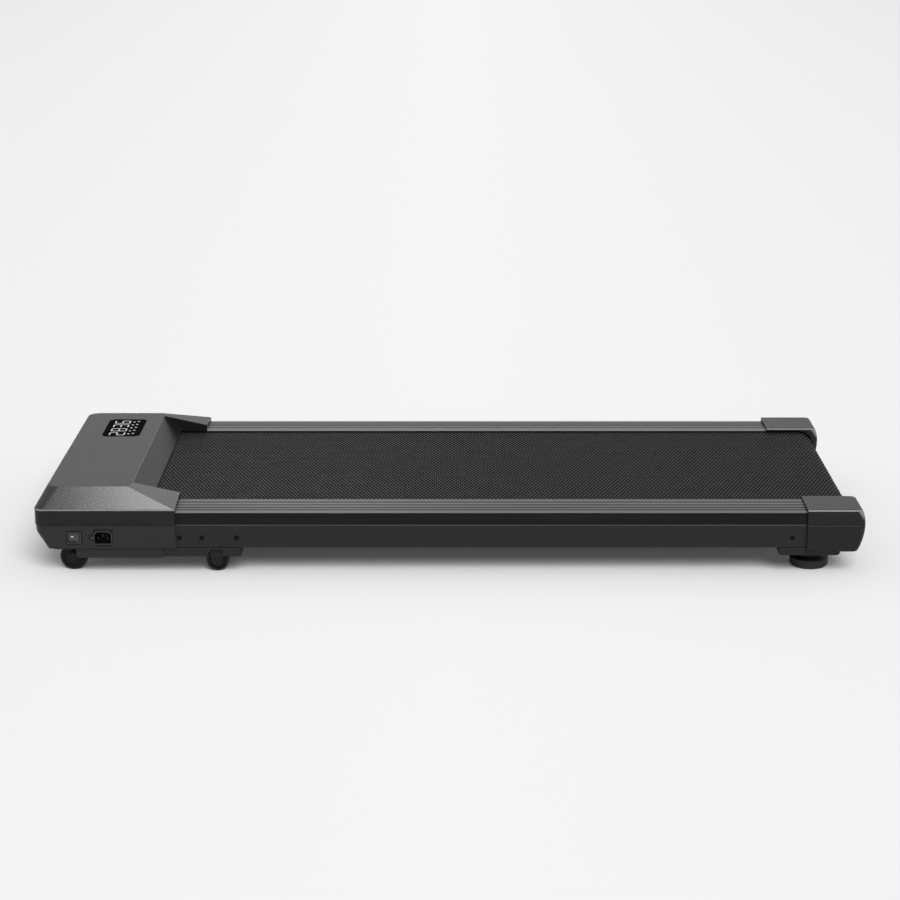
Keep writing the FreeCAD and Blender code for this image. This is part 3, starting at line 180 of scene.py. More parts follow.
def grained_finish(name, dark, light, gloss, grain, depth, metallic=0.0, shine=0.5, stretch=(1, 1, 1),
                   edge=0.0, highlight_tone=None):
    """A finish with a fine raised grain, whose tone and roughness drift over the surface.

    gloss is the lowest and highest roughness, grain the bumps per metre, depth their height in metres,
    shine the strength of the reflection, stretch pulls the grain along an axis, edge rounds the look
    of sharp corners, and the last argument is the tone of a painted highlight on the upward corners and
    sideways shoulders of a piece that has such an edge.
    """
    material = bpy.data.materials.new(name)
    material.use_nodes = True
    tree = material.node_tree
    shader = tree.nodes["Principled BSDF"]
    shader.inputs["Metallic"].default_value = metallic
    shader.inputs["Specular IOR Level"].default_value = shine
    place = tree.nodes.new("ShaderNodeTexCoord")
    spots = stretched(tree, place, stretch)
    fine = cloudy(tree, spots, grain, FINE_DETAIL)
    broad = cloudy(tree, spots, grain * BROAD_GRAIN_SHARE, BROAD_DETAIL)
    colour = toned(tree, fine, TONE_STOPS, (dark, light))
    tree.links.new(remap(tree, broad, GLOSS_SPREAD, gloss), shader.inputs["Roughness"])
    bump = tree.nodes.new("ShaderNodeBump")
    bump.inputs["Distance"].default_value = depth
    tree.links.new(fine, bump.inputs["Height"])
    if edge:
        rounding = tree.nodes.new("ShaderNodeBevel")
        rounding.samples = EDGE_SAMPLES
        rounding.inputs["Radius"].default_value = edge
        tree.links.new(rounding.outputs["Normal"], bump.inputs["Normal"])
    # Painted highlight: upward corners and sideways shoulders are mixed toward a lighter tone, where light
    # would catch them.
    if highlight_tone:
        highlight_share = edge_highlight(tree, place, rounding.outputs["Normal"])
        colour = mix(tree, "RGBA", highlight_share, colour, (*highlight_tone, 1.0))
    tree.links.new(colour, shader.inputs["Base Color"])
    tree.links.new(bump.outputs["Normal"], shader.inputs["Normal"])
    return material


def dress(material, *names):
    """Gives CAD nodes their finish."""
    for name in names:
        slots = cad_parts[name].data.materials
        slots.clear()
        slots.append(material)


def both(name):
    """The names of the left and the right piece of a pair."""
    return (name + "_left", name + "_right")


# The last tone is a painted highlight on upward corners and sideways shoulders.
powder_coat = grained_finish("black_powder_coat", dark=(0.009, 0.0095, 0.01), light=(0.0135, 0.014, 0.0145),
                             gloss=(0.42, 0.48), grain=700, depth=0.00005, shine=0.21, edge=COAT_EDGE,
                             highlight_tone=(0.035, 0.035, 0.036))
dress(powder_coat, *both("side_tube"), "deck_cross_members", *both("front_side_plate"), "nose_tube",
      *both("mid_bracket"), *both("rear_bracket"), "front_wheel_brackets", "mid_wheel_forks", "motor_plate")


# Frame bolts: button-head machine screws, driven through the outer walls of the side tubes.
# Cold-headed steel with a hexagon socket, blackened by oxide.
HEAD_SIDES = 24
HEXAGON_SIDES = 6
SAME_SPOT = 0.00001
CREASE_ANGLE = 30
BUTTON_DOME_SHARES = ((1.0, 0.0), (1.0, 0.3), (0.9, 0.7), (0.68, 0.95), (0.56, 1.0))
HEXAGON_SOCKET_SHARES = ((0.5, 1.0), (0.47, 0.25))


def solid_boxes(node):
    """Lowest and highest corner of each separate solid of a CAD node."""
    solid = bmesh.new()
    solid.from_mesh(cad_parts[node].data)
    bmesh.ops.remove_doubles(solid, verts=solid.verts, dist=SAME_SPOT)
    boxes = []
    reached = set()
    for start in solid.verts:
        if start in reached:
            continue
        reached.add(start)
        island, waiting = [], [start]
        while waiting:
            vert = waiting.pop()
            island.append(vert.co.copy())
            for edge in vert.link_edges:
                other = edge.other_vert(vert)
                if other not in reached:
                    reached.add(other)
                    waiting.append(other)
        low = Vector([min(spot[axis] for spot in island) for axis in range(3)])
        high = Vector([max(spot[axis] for spot in island) for axis in range(3)])
        boxes.append((low, high))
    solid.free()
    return boxes


def round_at(angle):
    """Reach of a circle of radius 1."""
    return 1.0


def hexagon_at(angle):
    """Reach of a hexagon whose corners lie on a circle of radius 1."""
    turn = 2 * math.pi / HEXAGON_SIDES
    return math.cos(turn / 2) / math.cos(angle % turn - turn / 2)


def head_rings(radius, height, dome_shares, recess_shares, recess):
    """Rings of a screw head as (radius, height, outline), from its rim to the floor of its recess."""
    rings = [(across * radius, up * height, round_at) for across, up in dome_shares]
    return rings + [(across * radius, up * height, recess) for across, up in recess_shares]


def add_head(mesh, seat, outward, rings):
    """Adds a screw head that stands on a seat."""
    turn = outward.to_track_quat("Z", "Y").to_matrix()
    loops = []
    for radius, height, outline in rings:
        loop = []
        for i in range(HEAD_SIDES):
            angle = 2 * math.pi * i / HEAD_SIDES
            reach = radius * outline(angle)
            spot = Vector((reach * math.cos(angle), reach * math.sin(angle), height))
            loop.append(mesh.verts.new(seat + turn @ spot))
        loops.append(loop)
    for low, high in zip(loops, loops[1:]):
        for i in range(HEAD_SIDES):
            j = (i + 1) % HEAD_SIDES
            mesh.faces.new((low[i], low[j], high[j], high[i]))
    mesh.faces.new(loops[0][::-1])
    mesh.faces.new(loops[-1])


def piece_from(mesh, name, material, body, crease=CREASE_ANGLE):
    """Makes a scene object of a finished mesh, which rides on a body."""
    data = bpy.data.meshes.new(name)
    mesh.to_mesh(data)
    mesh.free()
    data.materials.append(material)
    data.polygons.foreach_set("use_smooth", [True] * len(data.polygons))
    data.set_sharp_from_angle(angle=math.radians(crease))
    made = bpy.data.objects.new(name, data)
    bpy.context.scene.collection.objects.link(made)
    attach(made, body)
    return made


black_oxide = grained_finish("black_oxide_bolt", dark=(0.002, 0.002, 0.002), light=(0.004, 0.004, 0.004),
                             gloss=(0.4, 0.5), grain=2500, depth=0.00002, shine=0.1)
tube_face = abs(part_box("side_tube_right")[1].y)
bolts = bmesh.new()
for low, high in solid_boxes("frame_bolts"):
    middle = (low + high) / 2
    way = 1 if middle.y > 0 else -1
    head_radius = (high.x - low.x) / 2
    head_tall = max(abs(low.y), abs(high.y)) - tube_face
    seat = Vector((middle.x, way * tube_face, middle.z))
    rings = head_rings(head_radius, head_tall, BUTTON_DOME_SHARES, HEXAGON_SOCKET_SHARES, hexagon_at)
    add_head(bolts, seat, Vector((0, way, 0)), rings)
frame_bolts = piece_from(bolts, "frame_bolt_heads", black_oxide, "frame")
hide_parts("frame_bolts")


# Running deck: a medium-density fibreboard with a waxed face, on nine rubber cushions,
# held by six countersunk zinc-plated screws along its edges.
fibreboard = grained_finish("waxed_fibreboard", dark=(0.12, 0.082, 0.05), light=(0.19, 0.135, 0.085),
                            gloss=(0.35, 0.5), grain=420, depth=0.00003, stretch=(0.25, 1, 1))
cushion_rubber = grained_finish("cushion_rubber", dark=(0.012, 0.012, 0.012), light=(0.02, 0.02, 0.02),
                                gloss=(0.7, 0.85), grain=900, depth=0.00004)
zinc_plate = grained_finish("zinc_plate", dark=(0.46, 0.47, 0.5), light=(0.6, 0.6, 0.6),
                            gloss=(0.24, 0.4), grain=1400, depth=0.00001, metallic=1.0)
dress(fibreboard, "running_deck")
dress(cushion_rubber, "deck_cushions")
dress(zinc_plate, "deck_screws")


# Rollers and their shafts: steel tube turned true, with pressed hubs, sealed ball bearings
# and fixed shafts; the rear shaft ends sit in slots and are drawn back by two adjusting bolts.
turned_steel = grained_finish("turned_roller_steel", dark=(0.36, 0.36, 0.37), light=(0.52, 0.52, 0.53),
                              gloss=(0.26, 0.42), grain=900, depth=0.00001, metallic=1.0, stretch=(1, 9, 1))
ground_steel = grained_finish("ground_bearing_steel", dark=(0.5, 0.5, 0.52), light=(0.64, 0.64, 0.65),
                              gloss=(0.16, 0.28), grain=1600, depth=0.00001, metallic=1.0)
dress(turned_steel, "front_roller", "rear_roller")
dress(ground_steel, "front_roller_bearings", "rear_roller_bearings")
dress(zinc_plate, "front_roller_shaft", "rear_roller_shaft")
dress(black_oxide, "tension_bolts")


# Running belt: two plies of polyester cloth under a black vinyl face, welded into one loop
# round both rollers; the walking face is embossed all over with low diamond studs.
BELT_THICKNESS = 0.0016
STUD_HEIGHT = 0.0007
STUD_ROOT = 0.0001
STUD_PITCH = 0.0056
STUD_ROW = 0.007
STUD_HALF_LENGTH = 0.00195
STUD_HALF_WIDTH = 0.005
STUD_TOP_SHARE = 0.62
BELT_EDGE_MARGIN = 0.004
WRAP_STEPS = 20
BELT_CREASE_ANGLE = 12

belt_low, belt_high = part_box("running_belt")
belt_radius = (belt_high.z - belt_low.z) / 2
belt_z = (belt_high.z + belt_low.z) / 2
belt_front = belt_low.x + belt_radius
belt_rear = belt_high.x - belt_radius
belt_run = belt_rear - belt_front
belt_wrap = math.pi * belt_radius
belt_loop = 2 * (belt_run + belt_wrap)


def belt_spot(along, y, depth):
    """A place so far along the belt's loop, from the front of its top run, and so deep under its face."""
    reach = belt_radius - depth
    along %= belt_loop
    if along < belt_run:
        return Vector((belt_front + along, y, belt_z + reach))
    along -= belt_run
    if along < belt_wrap:
        angle = along / belt_radius
        return Vector((belt_rear + reach * math.sin(angle), y, belt_z + reach * math.cos(angle)))
    along -= belt_wrap
    if along < belt_run:
        return Vector((belt_rear - along, y, belt_z - reach))
    angle = (along - belt_run) / belt_radius
    return Vector((belt_front - reach * math.sin(angle), y, belt_z - reach * math.cos(angle)))


def add_stud(mesh, along, y):
    """Adds one stud as a closed solid, rooted in the belt, with its crown in the second finish, which is a
    painted highlight.
    """
    rings = []
    for share, depth in ((1.0, STUD_HEIGHT + STUD_ROOT), (STUD_TOP_SHARE, 0.0)):
        reach, half = share * STUD_HALF_LENGTH, share * STUD_HALF_WIDTH
        spots = ((along - reach, y), (along, y - half), (along + reach, y), (along, y + half))
        rings.append([mesh.verts.new(belt_spot(a, b, depth)) for a, b in spots])
    foot, crown = rings
    mesh.faces.new(foot[::-1])
    mesh.faces.new(crown).material_index = 1
    for i in range(len(foot)):
        j = (i + 1) % len(foot)
        mesh.faces.new((foot[i], foot[j], crown[j], crown[i]))


belt_stops = [0.0]
belt_stops += [belt_run + belt_wrap * i / WRAP_STEPS for i in range(WRAP_STEPS + 1)]
belt_stops += [2 * belt_run + belt_wrap + belt_wrap * i / WRAP_STEPS for i in range(WRAP_STEPS)]
belt_section = [(belt_low.y, STUD_HEIGHT), (belt_high.y, STUD_HEIGHT), (belt_high.y, BELT_THICKNESS),
                (belt_low.y, BELT_THICKNESS)]
belt = bmesh.new()
hoops = [[belt.verts.new(belt_spot(stop, y, depth)) for y, depth in belt_section] for stop in belt_stops]
for hoop, beyond in zip(hoops, hoops[1:] + hoops[:1]):
    for i in range(len(belt_section)):
        j = (i + 1) % len(belt_section)
        belt.faces.new((hoop[i], beyond[i], beyond[j], hoop[j]))

stud_count = round(belt_loop / STUD_PITCH)
stud_rows = int((belt_high.y - belt_low.y - 2 * BELT_EDGE_MARGIN) / STUD_ROW)
for row in range(stud_rows):
    row_y = (row - (stud_rows - 1) / 2) * STUD_ROW
    stagger = (row % 2) / 2
    for i in range(stud_count):
        add_stud(belt, (i + stagger) * belt_loop / stud_count, row_y)

belt_vinyl = grained_finish("embossed_belt_vinyl", dark=(0.005, 0.0052, 0.0052),
                            light=(0.009, 0.0093, 0.0093), gloss=(0.6, 0.66), grain=1500, depth=0.00003,
                            shine=0.03)
# Painted highlight: the studs' crowns are lighter and glossier than the vinyl, standing in for the light
# their tops catch.
stud_crown_highlight = grained_finish("stud_crown_painted_highlight", dark=(0.054, 0.0552, 0.0552), light=(0.08, 0.0816, 0.0816),
                            gloss=(0.5, 0.58), grain=1500, depth=0.00003, shine=0.15)
running_belt = piece_from(belt, "embossed_running_belt", belt_vinyl, "frame", BELT_CREASE_ANGLE)
running_belt.data.materials.append(stud_crown_highlight)
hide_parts("running_belt")


# Drive: an enamelled motor with an iron flywheel, two alloy pulleys and a ribbed rubber belt,
# all inside the hood, bolted to a plate on the nose tube.
motor_enamel = grained_finish("motor_enamel", dark=(0.02, 0.02, 0.021), light=(0.03, 0.03, 0.031),
                              gloss=(0.3, 0.42), grain=800, depth=0.00003)
turned_alloy = grained_finish("turned_pulley_alloy", dark=(0.5, 0.5, 0.51), light=(0.64, 0.64, 0.65),
                              gloss=(0.25, 0.4), grain=1000, depth=0.00001, metallic=1.0, stretch=(1, 6, 1))
flywheel_iron = grained_finish("flywheel_iron", dark=(0.09, 0.09, 0.09), light=(0.15, 0.15, 0.15),
                               gloss=(0.4, 0.55), grain=700, depth=0.00003, metallic=0.9)
dress(motor_enamel, "motor_can")
dress(turned_alloy, "motor_pulley", "drive_pulley")
dress(flywheel_iron, "motor_flywheel")
dress(zinc_plate, "motor_shaft")
dress(cushion_rubber, "drive_belt")


# Electronics: the motor controller on its finned alloy heat sink in the pan,
# and the display's board with its block of light segments under the lens.
board_resist = grained_finish("green_board_resist", dark=(0.015, 0.075, 0.03), light=(0.03, 0.12, 0.05),
                              gloss=(0.3, 0.45), grain=500, depth=0.00002)
fin_alloy = grained_finish("extruded_fin_alloy", dark=(0.4, 0.4, 0.41), light=(0.52, 0.52, 0.53),
                           gloss=(0.32, 0.45), grain=800, depth=0.00001, metallic=1.0, stretch=(0.1, 1, 1))
block_black = grained_finish("segment_block_black", dark=(0.006, 0.006, 0.006), light=(0.012, 0.012, 0.012),
                             gloss=(0.6, 0.7), grain=900, depth=0.00002)
dress(board_resist, "control_board")
dress(fin_alloy, "control_heatsink")
dress(block_black, "display_board")


# Foot rails: aluminium extrusions with grooved treads, sawn to length and anodised black;
# the die leaves fine draw lines along them. The treads' upward ridges are painted grey over the black as a
# painted highlight, with the draw lines running through it.
RAIL_EDGE = 0.0002
TREAD_HIGHLIGHT_DARK = (0.075, 0.075, 0.077)
TREAD_HIGHLIGHT_LIGHT = (0.165, 0.165, 0.169)
TREAD_LINES = 380
TREAD_DETAIL = 2.0
TREAD_STRETCH = (0.01, 1, 1)
TREAD_FACING = (0.8, 0.97)
TREAD_TILT = (0.012, 0.03)

# The last tone is a painted highlight on upward corners and sideways shoulders.
rail_anodised = grained_finish("brushed_anodised_rail", dark=(0.006, 0.006, 0.0063),
                               light=(0.009, 0.009, 0.0093), gloss=(0.34, 0.4), grain=500, depth=0.00003,
                               shine=0.1, stretch=(0.02, 1, 1), edge=RAIL_EDGE, highlight_tone=(0.18, 0.18, 0.184))
rail_tree = rail_anodised.node_tree
rail_colour = rail_tree.nodes["Principled BSDF"].inputs["Base Color"]
rail_place = rail_tree.nodes.new("ShaderNodeTexCoord")
rail_faces = facing(rail_tree, rail_place)
# Painted highlight: the upward-facing, slightly tilted ridges of the treads are painted lighter grey,
# standing in for the light their tops catch.
tread_upward = remap(rail_tree, rail_faces["Z"], TREAD_FACING, (0.0, 1.0))
tread_ridge = remap(rail_tree, combine(rail_tree, "ABSOLUTE", rail_faces["Y"]), TREAD_TILT, (0.0, 1.0))
tread_highlight_share = combine(rail_tree, "MULTIPLY", tread_upward, tread_ridge)
tread_lines = cloudy(rail_tree, stretched(rail_tree, rail_place, TREAD_STRETCH), TREAD_LINES, TREAD_DETAIL)
tread_highlight_colour = toned(rail_tree, tread_lines, (0.0, 1.0), (TREAD_HIGHLIGHT_DARK, TREAD_HIGHLIGHT_LIGHT))
anodised_colour = rail_colour.links[0].from_socket
rail_tree.links.new(mix(rail_tree, "RGBA", tread_highlight_share, anodised_colour, tread_highlight_colour), rail_colour)
dress(rail_anodised, *both("foot_rail"))


# Hood: two injection-moulded shells, charcoal above and black below, and a black pan under the motor.
# The moulds are spark eroded, which gives the plastic its even matt grain; screws hold the pan.
HOOD_EDGE = 0.0015
SKIRT_EDGE = 0.0012
PAN_SCREW_PLACES = (-0.17, -0.06, 0.06, 0.17)
PAN_SCREW_INSET = 0.016
PAN_FLANGE = 0.0025
PAN_SCREW_RADIUS = 0.0042
PAN_SCREW_HEIGHT = 0.0018
PAN_DOME_SHARES = ((1.0, 0.0), (1.0, 0.45), (0.86, 0.85), (0.62, 1.0))
CROSS_RECESS_SHARES = ((0.5, 1.0), (0.4, 0.4))
CROSS_ARMS = 4
CROSS_CORE_SHARE = 0.4
CROSS_SHARPNESS = 6


def cross_at(angle):
    """Reach of a cross with four arms of length 1."""
    arm = abs(math.cos(CROSS_ARMS / 2 * angle)) ** CROSS_SHARPNESS
    return CROSS_CORE_SHARE + (1 - CROSS_CORE_SHARE) * arm


def cross_head(radius, height):
    """Rings of a pan head with a cross recess."""
    return head_rings(radius, height, PAN_DOME_SHARES, CROSS_RECESS_SHARES, cross_at)


# The last tone is a painted highlight on upward corners and sideways shoulders.
hood_plastic = grained_finish("charcoal_hood_plastic", dark=(0.007, 0.007, 0.0073),
                              light=(0.012, 0.012, 0.0123), gloss=(0.262, 0.278), grain=420,
                              depth=0.00006, shine=0.18, edge=HOOD_EDGE, highlight_tone=(0.2, 0.2, 0.203))
skirt_plastic = grained_finish("black_skirt_plastic", dark=(0.012, 0.0125, 0.013),
                               light=(0.017, 0.0175, 0.018), gloss=(0.42, 0.47), grain=900,
                               depth=0.00008, shine=0.24, edge=SKIRT_EDGE)
dress(hood_plastic, "hood_top_shell")
dress(skirt_plastic, "hood_lower_shell", "bottom_pan")

pan_low, pan_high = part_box("bottom_pan")
pan_screws = bmesh.new()
for y in PAN_SCREW_PLACES:
    seat = Vector((pan_low.x + PAN_SCREW_INSET, y, pan_high.z - PAN_FLANGE))
    add_head(pan_screws, seat, Vector((0, 0, -1)), cross_head(PAN_SCREW_RADIUS, PAN_SCREW_HEIGHT))
piece_from(pan_screws, "pan_screw_heads", black_oxide, "frame")


# Display: a smoked acrylic lens snapped into the hood, over white light segments
# that show plain numbers, with two rows of small indicator lights below them.
SHOWN_NUMBER = "2836"
SEGMENTS_LIT = {"0": "abcdef", "1": "bc", "2": "abged", "3": "abgcd", "4": "fgbc", "5": "afgcd",
                "6": "afgedc", "7": "abc", "8": "abcdefg", "9": "abcdfg"}
SEGMENT_WIDTH = 0.0019
SEGMENT_GAP_SHARE = 0.12
DIGIT_TALL = 0.023
DIGIT_WIDE = 0.0145
DIGIT_PITCH = 0.0235
DIGIT_ROW_SHARE = 0.38
LIGHT_ROW_SHARES = (0.68, 0.79)
LIGHT_STAGGER_SHARE = 0.2
LIGHT_PROUD = 0.00006
LIGHT_THICKNESS = 0.0003
LIGHT_RADIUS = 0.0019
LIGHT_SIDES = 12
LIGHT_COUNT = 5
LIGHT_PITCH = 0.018
GLOW_COLOUR = (0.92, 0.95, 1.0, 1.0)
GLOW_STRENGTH = 0.15

lens_low, lens_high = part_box("display_lens")
lens_face = lens_high.z + LIGHT_PROUD
lens_middle_y = (lens_low.y + lens_high.y) / 2
lens_length = lens_high.x - lens_low.x


def segment_ends(letter):
    """Both ends of a lit segment, with x to the right and y up from the digit's middle."""
    right, top = DIGIT_WIDE / 2, DIGIT_TALL / 2
    ends = {"a": ((-right, top), (right, top)), "b": ((right, top), (right, 0)),
            "c": ((right, 0), (right, -top)), "d": ((-right, -top), (right, -top)),
            "e": ((-right, 0), (-right, -top)), "f": ((-right, top), (-right, 0)),
            "g": ((-right, 0), (right, 0))}
    return ends[letter]


def segment_outline(letter):
    """A lit segment as a bar with pointed ends."""
    first, last = [Vector(end) for end in segment_ends(letter)]
    along = (last - first).normalized()
    across = Vector((-along.y, along.x)) * SEGMENT_WIDTH / 2
    shoulder = along * SEGMENT_WIDTH / 2
    first += along * SEGMENT_WIDTH * SEGMENT_GAP_SHARE
    last -= along * SEGMENT_WIDTH * SEGMENT_GAP_SHARE
    return [first, first + shoulder + across, last - shoulder + across, last,
            last - shoulder - across, first + shoulder - across]


def add_light(mesh, outline, row_share):
    """Adds a lit shape in the lens, right of the middle line and up from a row as the walker reads it."""
    row_x = lens_low.x + row_share * lens_length
    face = [mesh.verts.new((row_x - up, lens_middle_y + right, lens_face)) for right, up in outline]
    back = [mesh.verts.new(spot.co - Vector((0, 0, LIGHT_THICKNESS))) for spot in face]
    mesh.faces.new(face)
    mesh.faces.new(back[::-1])
    for i in range(len(face)):
        j = (i + 1) % len(face)
        mesh.faces.new((face[j], face[i], back[i], back[j]))


lights = bmesh.new()
for place, figure in enumerate(SHOWN_NUMBER):
    start = (place - (len(SHOWN_NUMBER) - 1) / 2) * DIGIT_PITCH
    for letter in SEGMENTS_LIT[figure]:
        add_light(lights, [(start + spot.x, spot.y) for spot in segment_outline(letter)], DIGIT_ROW_SHARE)
light_angles = [2 * math.pi * i / LIGHT_SIDES for i in range(LIGHT_SIDES)]
light_round = [(LIGHT_RADIUS * math.cos(angle), LIGHT_RADIUS * math.sin(angle)) for angle in light_angles]
for row, row_share in enumerate(LIGHT_ROW_SHARES):
    for i in range(LIGHT_COUNT):
        start = (i - (LIGHT_COUNT - 1) / 2 + LIGHT_STAGGER_SHARE * row) * LIGHT_PITCH
        add_light(lights, [(start + right, up) for right, up in light_round], row_share)
bmesh.ops.recalc_face_normals(lights, faces=lights.faces)

segment_white = grained_finish("lit_white_segment", dark=(0.5, 0.51, 0.52), light=(0.6, 0.6, 0.6),
                               gloss=(0.5, 0.6), grain=900, depth=0.00001)
segment_shader = segment_white.node_tree.nodes["Principled BSDF"]
segment_shader.inputs["Emission Color"].default_value = GLOW_COLOUR
segment_shader.inputs["Emission Strength"].default_value = GLOW_STRENGTH
piece_from(lights, "display_lights", segment_white, "frame")

smoked_lens = grained_finish("smoked_lens_acrylic", dark=(0.006, 0.006, 0.0062),
                             light=(0.009, 0.009, 0.0093), gloss=(0.2, 0.26), grain=300, depth=0.000002,
                             shine=0.0)
dress(smoked_lens, "display_lens")


# Mains switch and inlet: black nylon mouldings pressed into the skirt's left wall.
# The rocker has a moulded white line, and the inlet three plated blades and one fixing screw.
FITTING_EDGE = 0.0004
FITTING_PROUD = 0.0003
BEZEL_RIM = 0.0013
BEZEL_SIDE_GAP = 0.0009
BEZEL_END_LAP = 0.0006
INLET_HALF_WIDTH = 0.0113
INLET_HALF_TALL = 0.0082
INLET_CORNER_CUT = 0.0034
INLET_CUT_GROWTH_SHARE = 0.4
INLET_RIM_GAP = 0.0007
INLET_RIM_WIDTH = 0.0014
MARK_LENGTH = 0.0038
MARK_TALL = 0.0011
MARK_OFFSET = (-0.0024, 0.0012)
MARK_PROUD = 0.00012
MARK_ROOT = 0.0001
EAR_SCREW_RADIUS = 0.0021
EAR_SCREW_REACH = 0.016
SIGHT_REACH = 0.1


def add_plate(mesh, outline, inner, y0, y1):
    """Adds a flat ring on the left wall between two outlines of (x, z) points, from y0 out to y1."""
    loops = [[mesh.verts.new((x, y, z)) for x, z in points]
             for points, y in ((outline, y0), (outline, y1), (inner, y1), (inner, y0))]
    for low, high in zip(loops, loops[1:] + loops[:1]):
        for i in range(len(low)):
            j = (i + 1) % len(low)
            mesh.faces.new((low[i], low[j], high[j], high[i]))


def rectangle(x0, x1, z0, z1):
    """Corners of an upright rectangle, as (x, z) points."""
    return [(x0, z0), (x1, z0), (x1, z1), (x0, z1)]


def inlet_outline(grow):
    """The inlet's mouth with its two cut corners, grown outwards."""
    x, z = INLET_HALF_WIDTH + grow, INLET_HALF_TALL + grow
    cut = INLET_CORNER_CUT + INLET_CUT_GROWTH_SHARE * grow
    points = [(-x, -z), (x, -z), (x, z - cut), (x - cut, z), (cut - x, z), (-x, z - cut)]
    return [(inlet_x + a, fitting_z + b) for a, b in points]


def node_face(node, x, z):
    """The place where a line across the pad, from the left, first meets a CAD node."""
    surface = BVHTree.FromObject(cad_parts[node], bpy.context.evaluated_depsgraph_get())
    return surface.ray_cast(Vector((x, cad_low.y - SIGHT_REACH, z)), Vector((0, 1, 0)))[0]


switch_nylon = grained_finish("black_switch_nylon", dark=(0.003, 0.003, 0.003), light=(0.006, 0.006, 0.006),
                              gloss=(0.35, 0.42), grain=1200, depth=0.00003, shine=0.12, edge=FITTING_EDGE)
# Painted highlight: the thin rims round the switch and the inlet are a lighter, glossier grey than the
# black mouldings, standing in for light on their edges.
rim_highlight_nylon = grained_finish("rim_nylon_painted_highlight", dark=(0.02, 0.02, 0.0205), light=(0.03, 0.03, 0.0305),
                           gloss=(0.35, 0.42), grain=1200, depth=0.00003, shine=0.4)
rocker_nylon = grained_finish("grey_rocker_nylon", dark=(0.028, 0.028, 0.0286), light=(0.04, 0.04, 0.0408),
                              gloss=(0.3, 0.38), grain=1200, depth=0.00002, edge=FITTING_EDGE)
mark_white = grained_finish("moulded_white_mark", dark=(0.6, 0.6, 0.6), light=(0.7, 0.7, 0.7),
                            gloss=(0.5, 0.6), grain=1500, depth=0.00001)
blade_plate = grained_finish("plated_blade", dark=(0.02, 0.019, 0.017), light=(0.035, 0.033, 0.029),
                             gloss=(0.3, 0.4), grain=1500, depth=0.00001, metallic=1.0)
dull_zinc = grained_finish("dull_zinc", dark=(0.05, 0.05, 0.052), light=(0.08, 0.08, 0.082),
                           gloss=(0.4, 0.5), grain=1400, depth=0.00001, metallic=0.8)
dress(switch_nylon, "rocker_housing", "inlet_body")
dress(rocker_nylon, "rocker_button")
dress(blade_plate, "inlet_pins")

housing_low, housing_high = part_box("rocker_housing")
button_low, button_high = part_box("rocker_button")
blades_low, blades_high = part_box("inlet_pins")
bezel_y = housing_low.y
fitting_z = (housing_low.z + housing_high.z) / 2
inlet_x = (blades_low.x + blades_high.x) / 2
bezel_outline = rectangle(housing_low.x + BEZEL_RIM, housing_high.x - BEZEL_RIM,
                          housing_low.z + BEZEL_RIM, housing_high.z - BEZEL_RIM)
bezel_inner = rectangle(button_low.x - BEZEL_SIDE_GAP, button_high.x + BEZEL_SIDE_GAP,
                        button_low.z + BEZEL_END_LAP, button_high.z - BEZEL_END_LAP)
rims = bmesh.new()
add_plate(rims, bezel_outline, bezel_inner, bezel_y, bezel_y - FITTING_PROUD)
add_plate(rims, inlet_outline(INLET_RIM_GAP + INLET_RIM_WIDTH), inlet_outline(INLET_RIM_GAP),
          bezel_y, bezel_y - FITTING_PROUD)
piece_from(rims, "switch_and_inlet_rims", rim_highlight_nylon, "frame")

mark_x = (button_low.x + button_high.x) / 2 + MARK_OFFSET[0]
mark_z = fitting_z + MARK_OFFSET[1]
mark_corners = [node_face("rocker_button", x, z)
                for x, z in rectangle(mark_x - MARK_LENGTH / 2, mark_x + MARK_LENGTH / 2,
                                      mark_z - MARK_TALL / 2, mark_z + MARK_TALL / 2)]
mark = bmesh.new()
outer = [mark.verts.new(corner - Vector((0, MARK_PROUD, 0))) for corner in mark_corners]
inner = [mark.verts.new(corner + Vector((0, MARK_ROOT, 0))) for corner in mark_corners]
mark.faces.new(outer)
mark.faces.new(inner[::-1])
for i in range(len(outer)):
    j = (i + 1) % len(outer)
    mark.faces.new((outer[j], outer[i], inner[i], inner[j]))
piece_from(mark, "rocker_mark", mark_white, "rocker")

ear_screw = bmesh.new()
add_head(ear_screw, Vector((inlet_x - EAR_SCREW_REACH, bezel_y, fitting_z)), Vector((0, -1, 0)),
         cross_head(EAR_SCREW_RADIUS, FITTING_PROUD))
piece_from(ear_screw, "inlet_ear_screw", dull_zinc, "frame")


# Wheels: transport wheels moulded of black nylon, turning on pins with black moulded heads;
# the front pair carry the weight when the pad is rolled, the middle pair clear the floor by a little.
WHEEL_EDGE = 0.0006

wheel_nylon = grained_finish("black_wheel_nylon", dark=(0.005, 0.005, 0.0052), light=(0.009, 0.009, 0.0092),
                             gloss=(0.38, 0.45), grain=900, depth=0.00004, shine=0.18, edge=WHEEL_EDGE)
dress(wheel_nylon, *both("front_wheel"), *both("mid_wheel"), "front_wheel_axles", "mid_wheel_axles")


# Levelling feet: round rubber pads moulded on zinc-plated studs, which screw into nuts
# on the rear brackets, so that each rear corner can be raised or lowered to suit the floor.
FOOT_EDGE = 0.0008

foot_rubber = grained_finish("foot_rubber", dark=(0.01, 0.01, 0.01), light=(0.016, 0.016, 0.016),
                             gloss=(0.5, 0.6), grain=900, depth=0.00005, shine=0.25, edge=FOOT_EDGE)
dress(foot_rubber, *both("foot_pad"))
dress(zinc_plate, *both("foot_stud"), "foot_nuts")


# End caps: moulded covers over the rear ends of the rails and tubes, in the hood's plastic
# with a finer grain, clipped on from behind.
CAP_EDGE = 0.0015

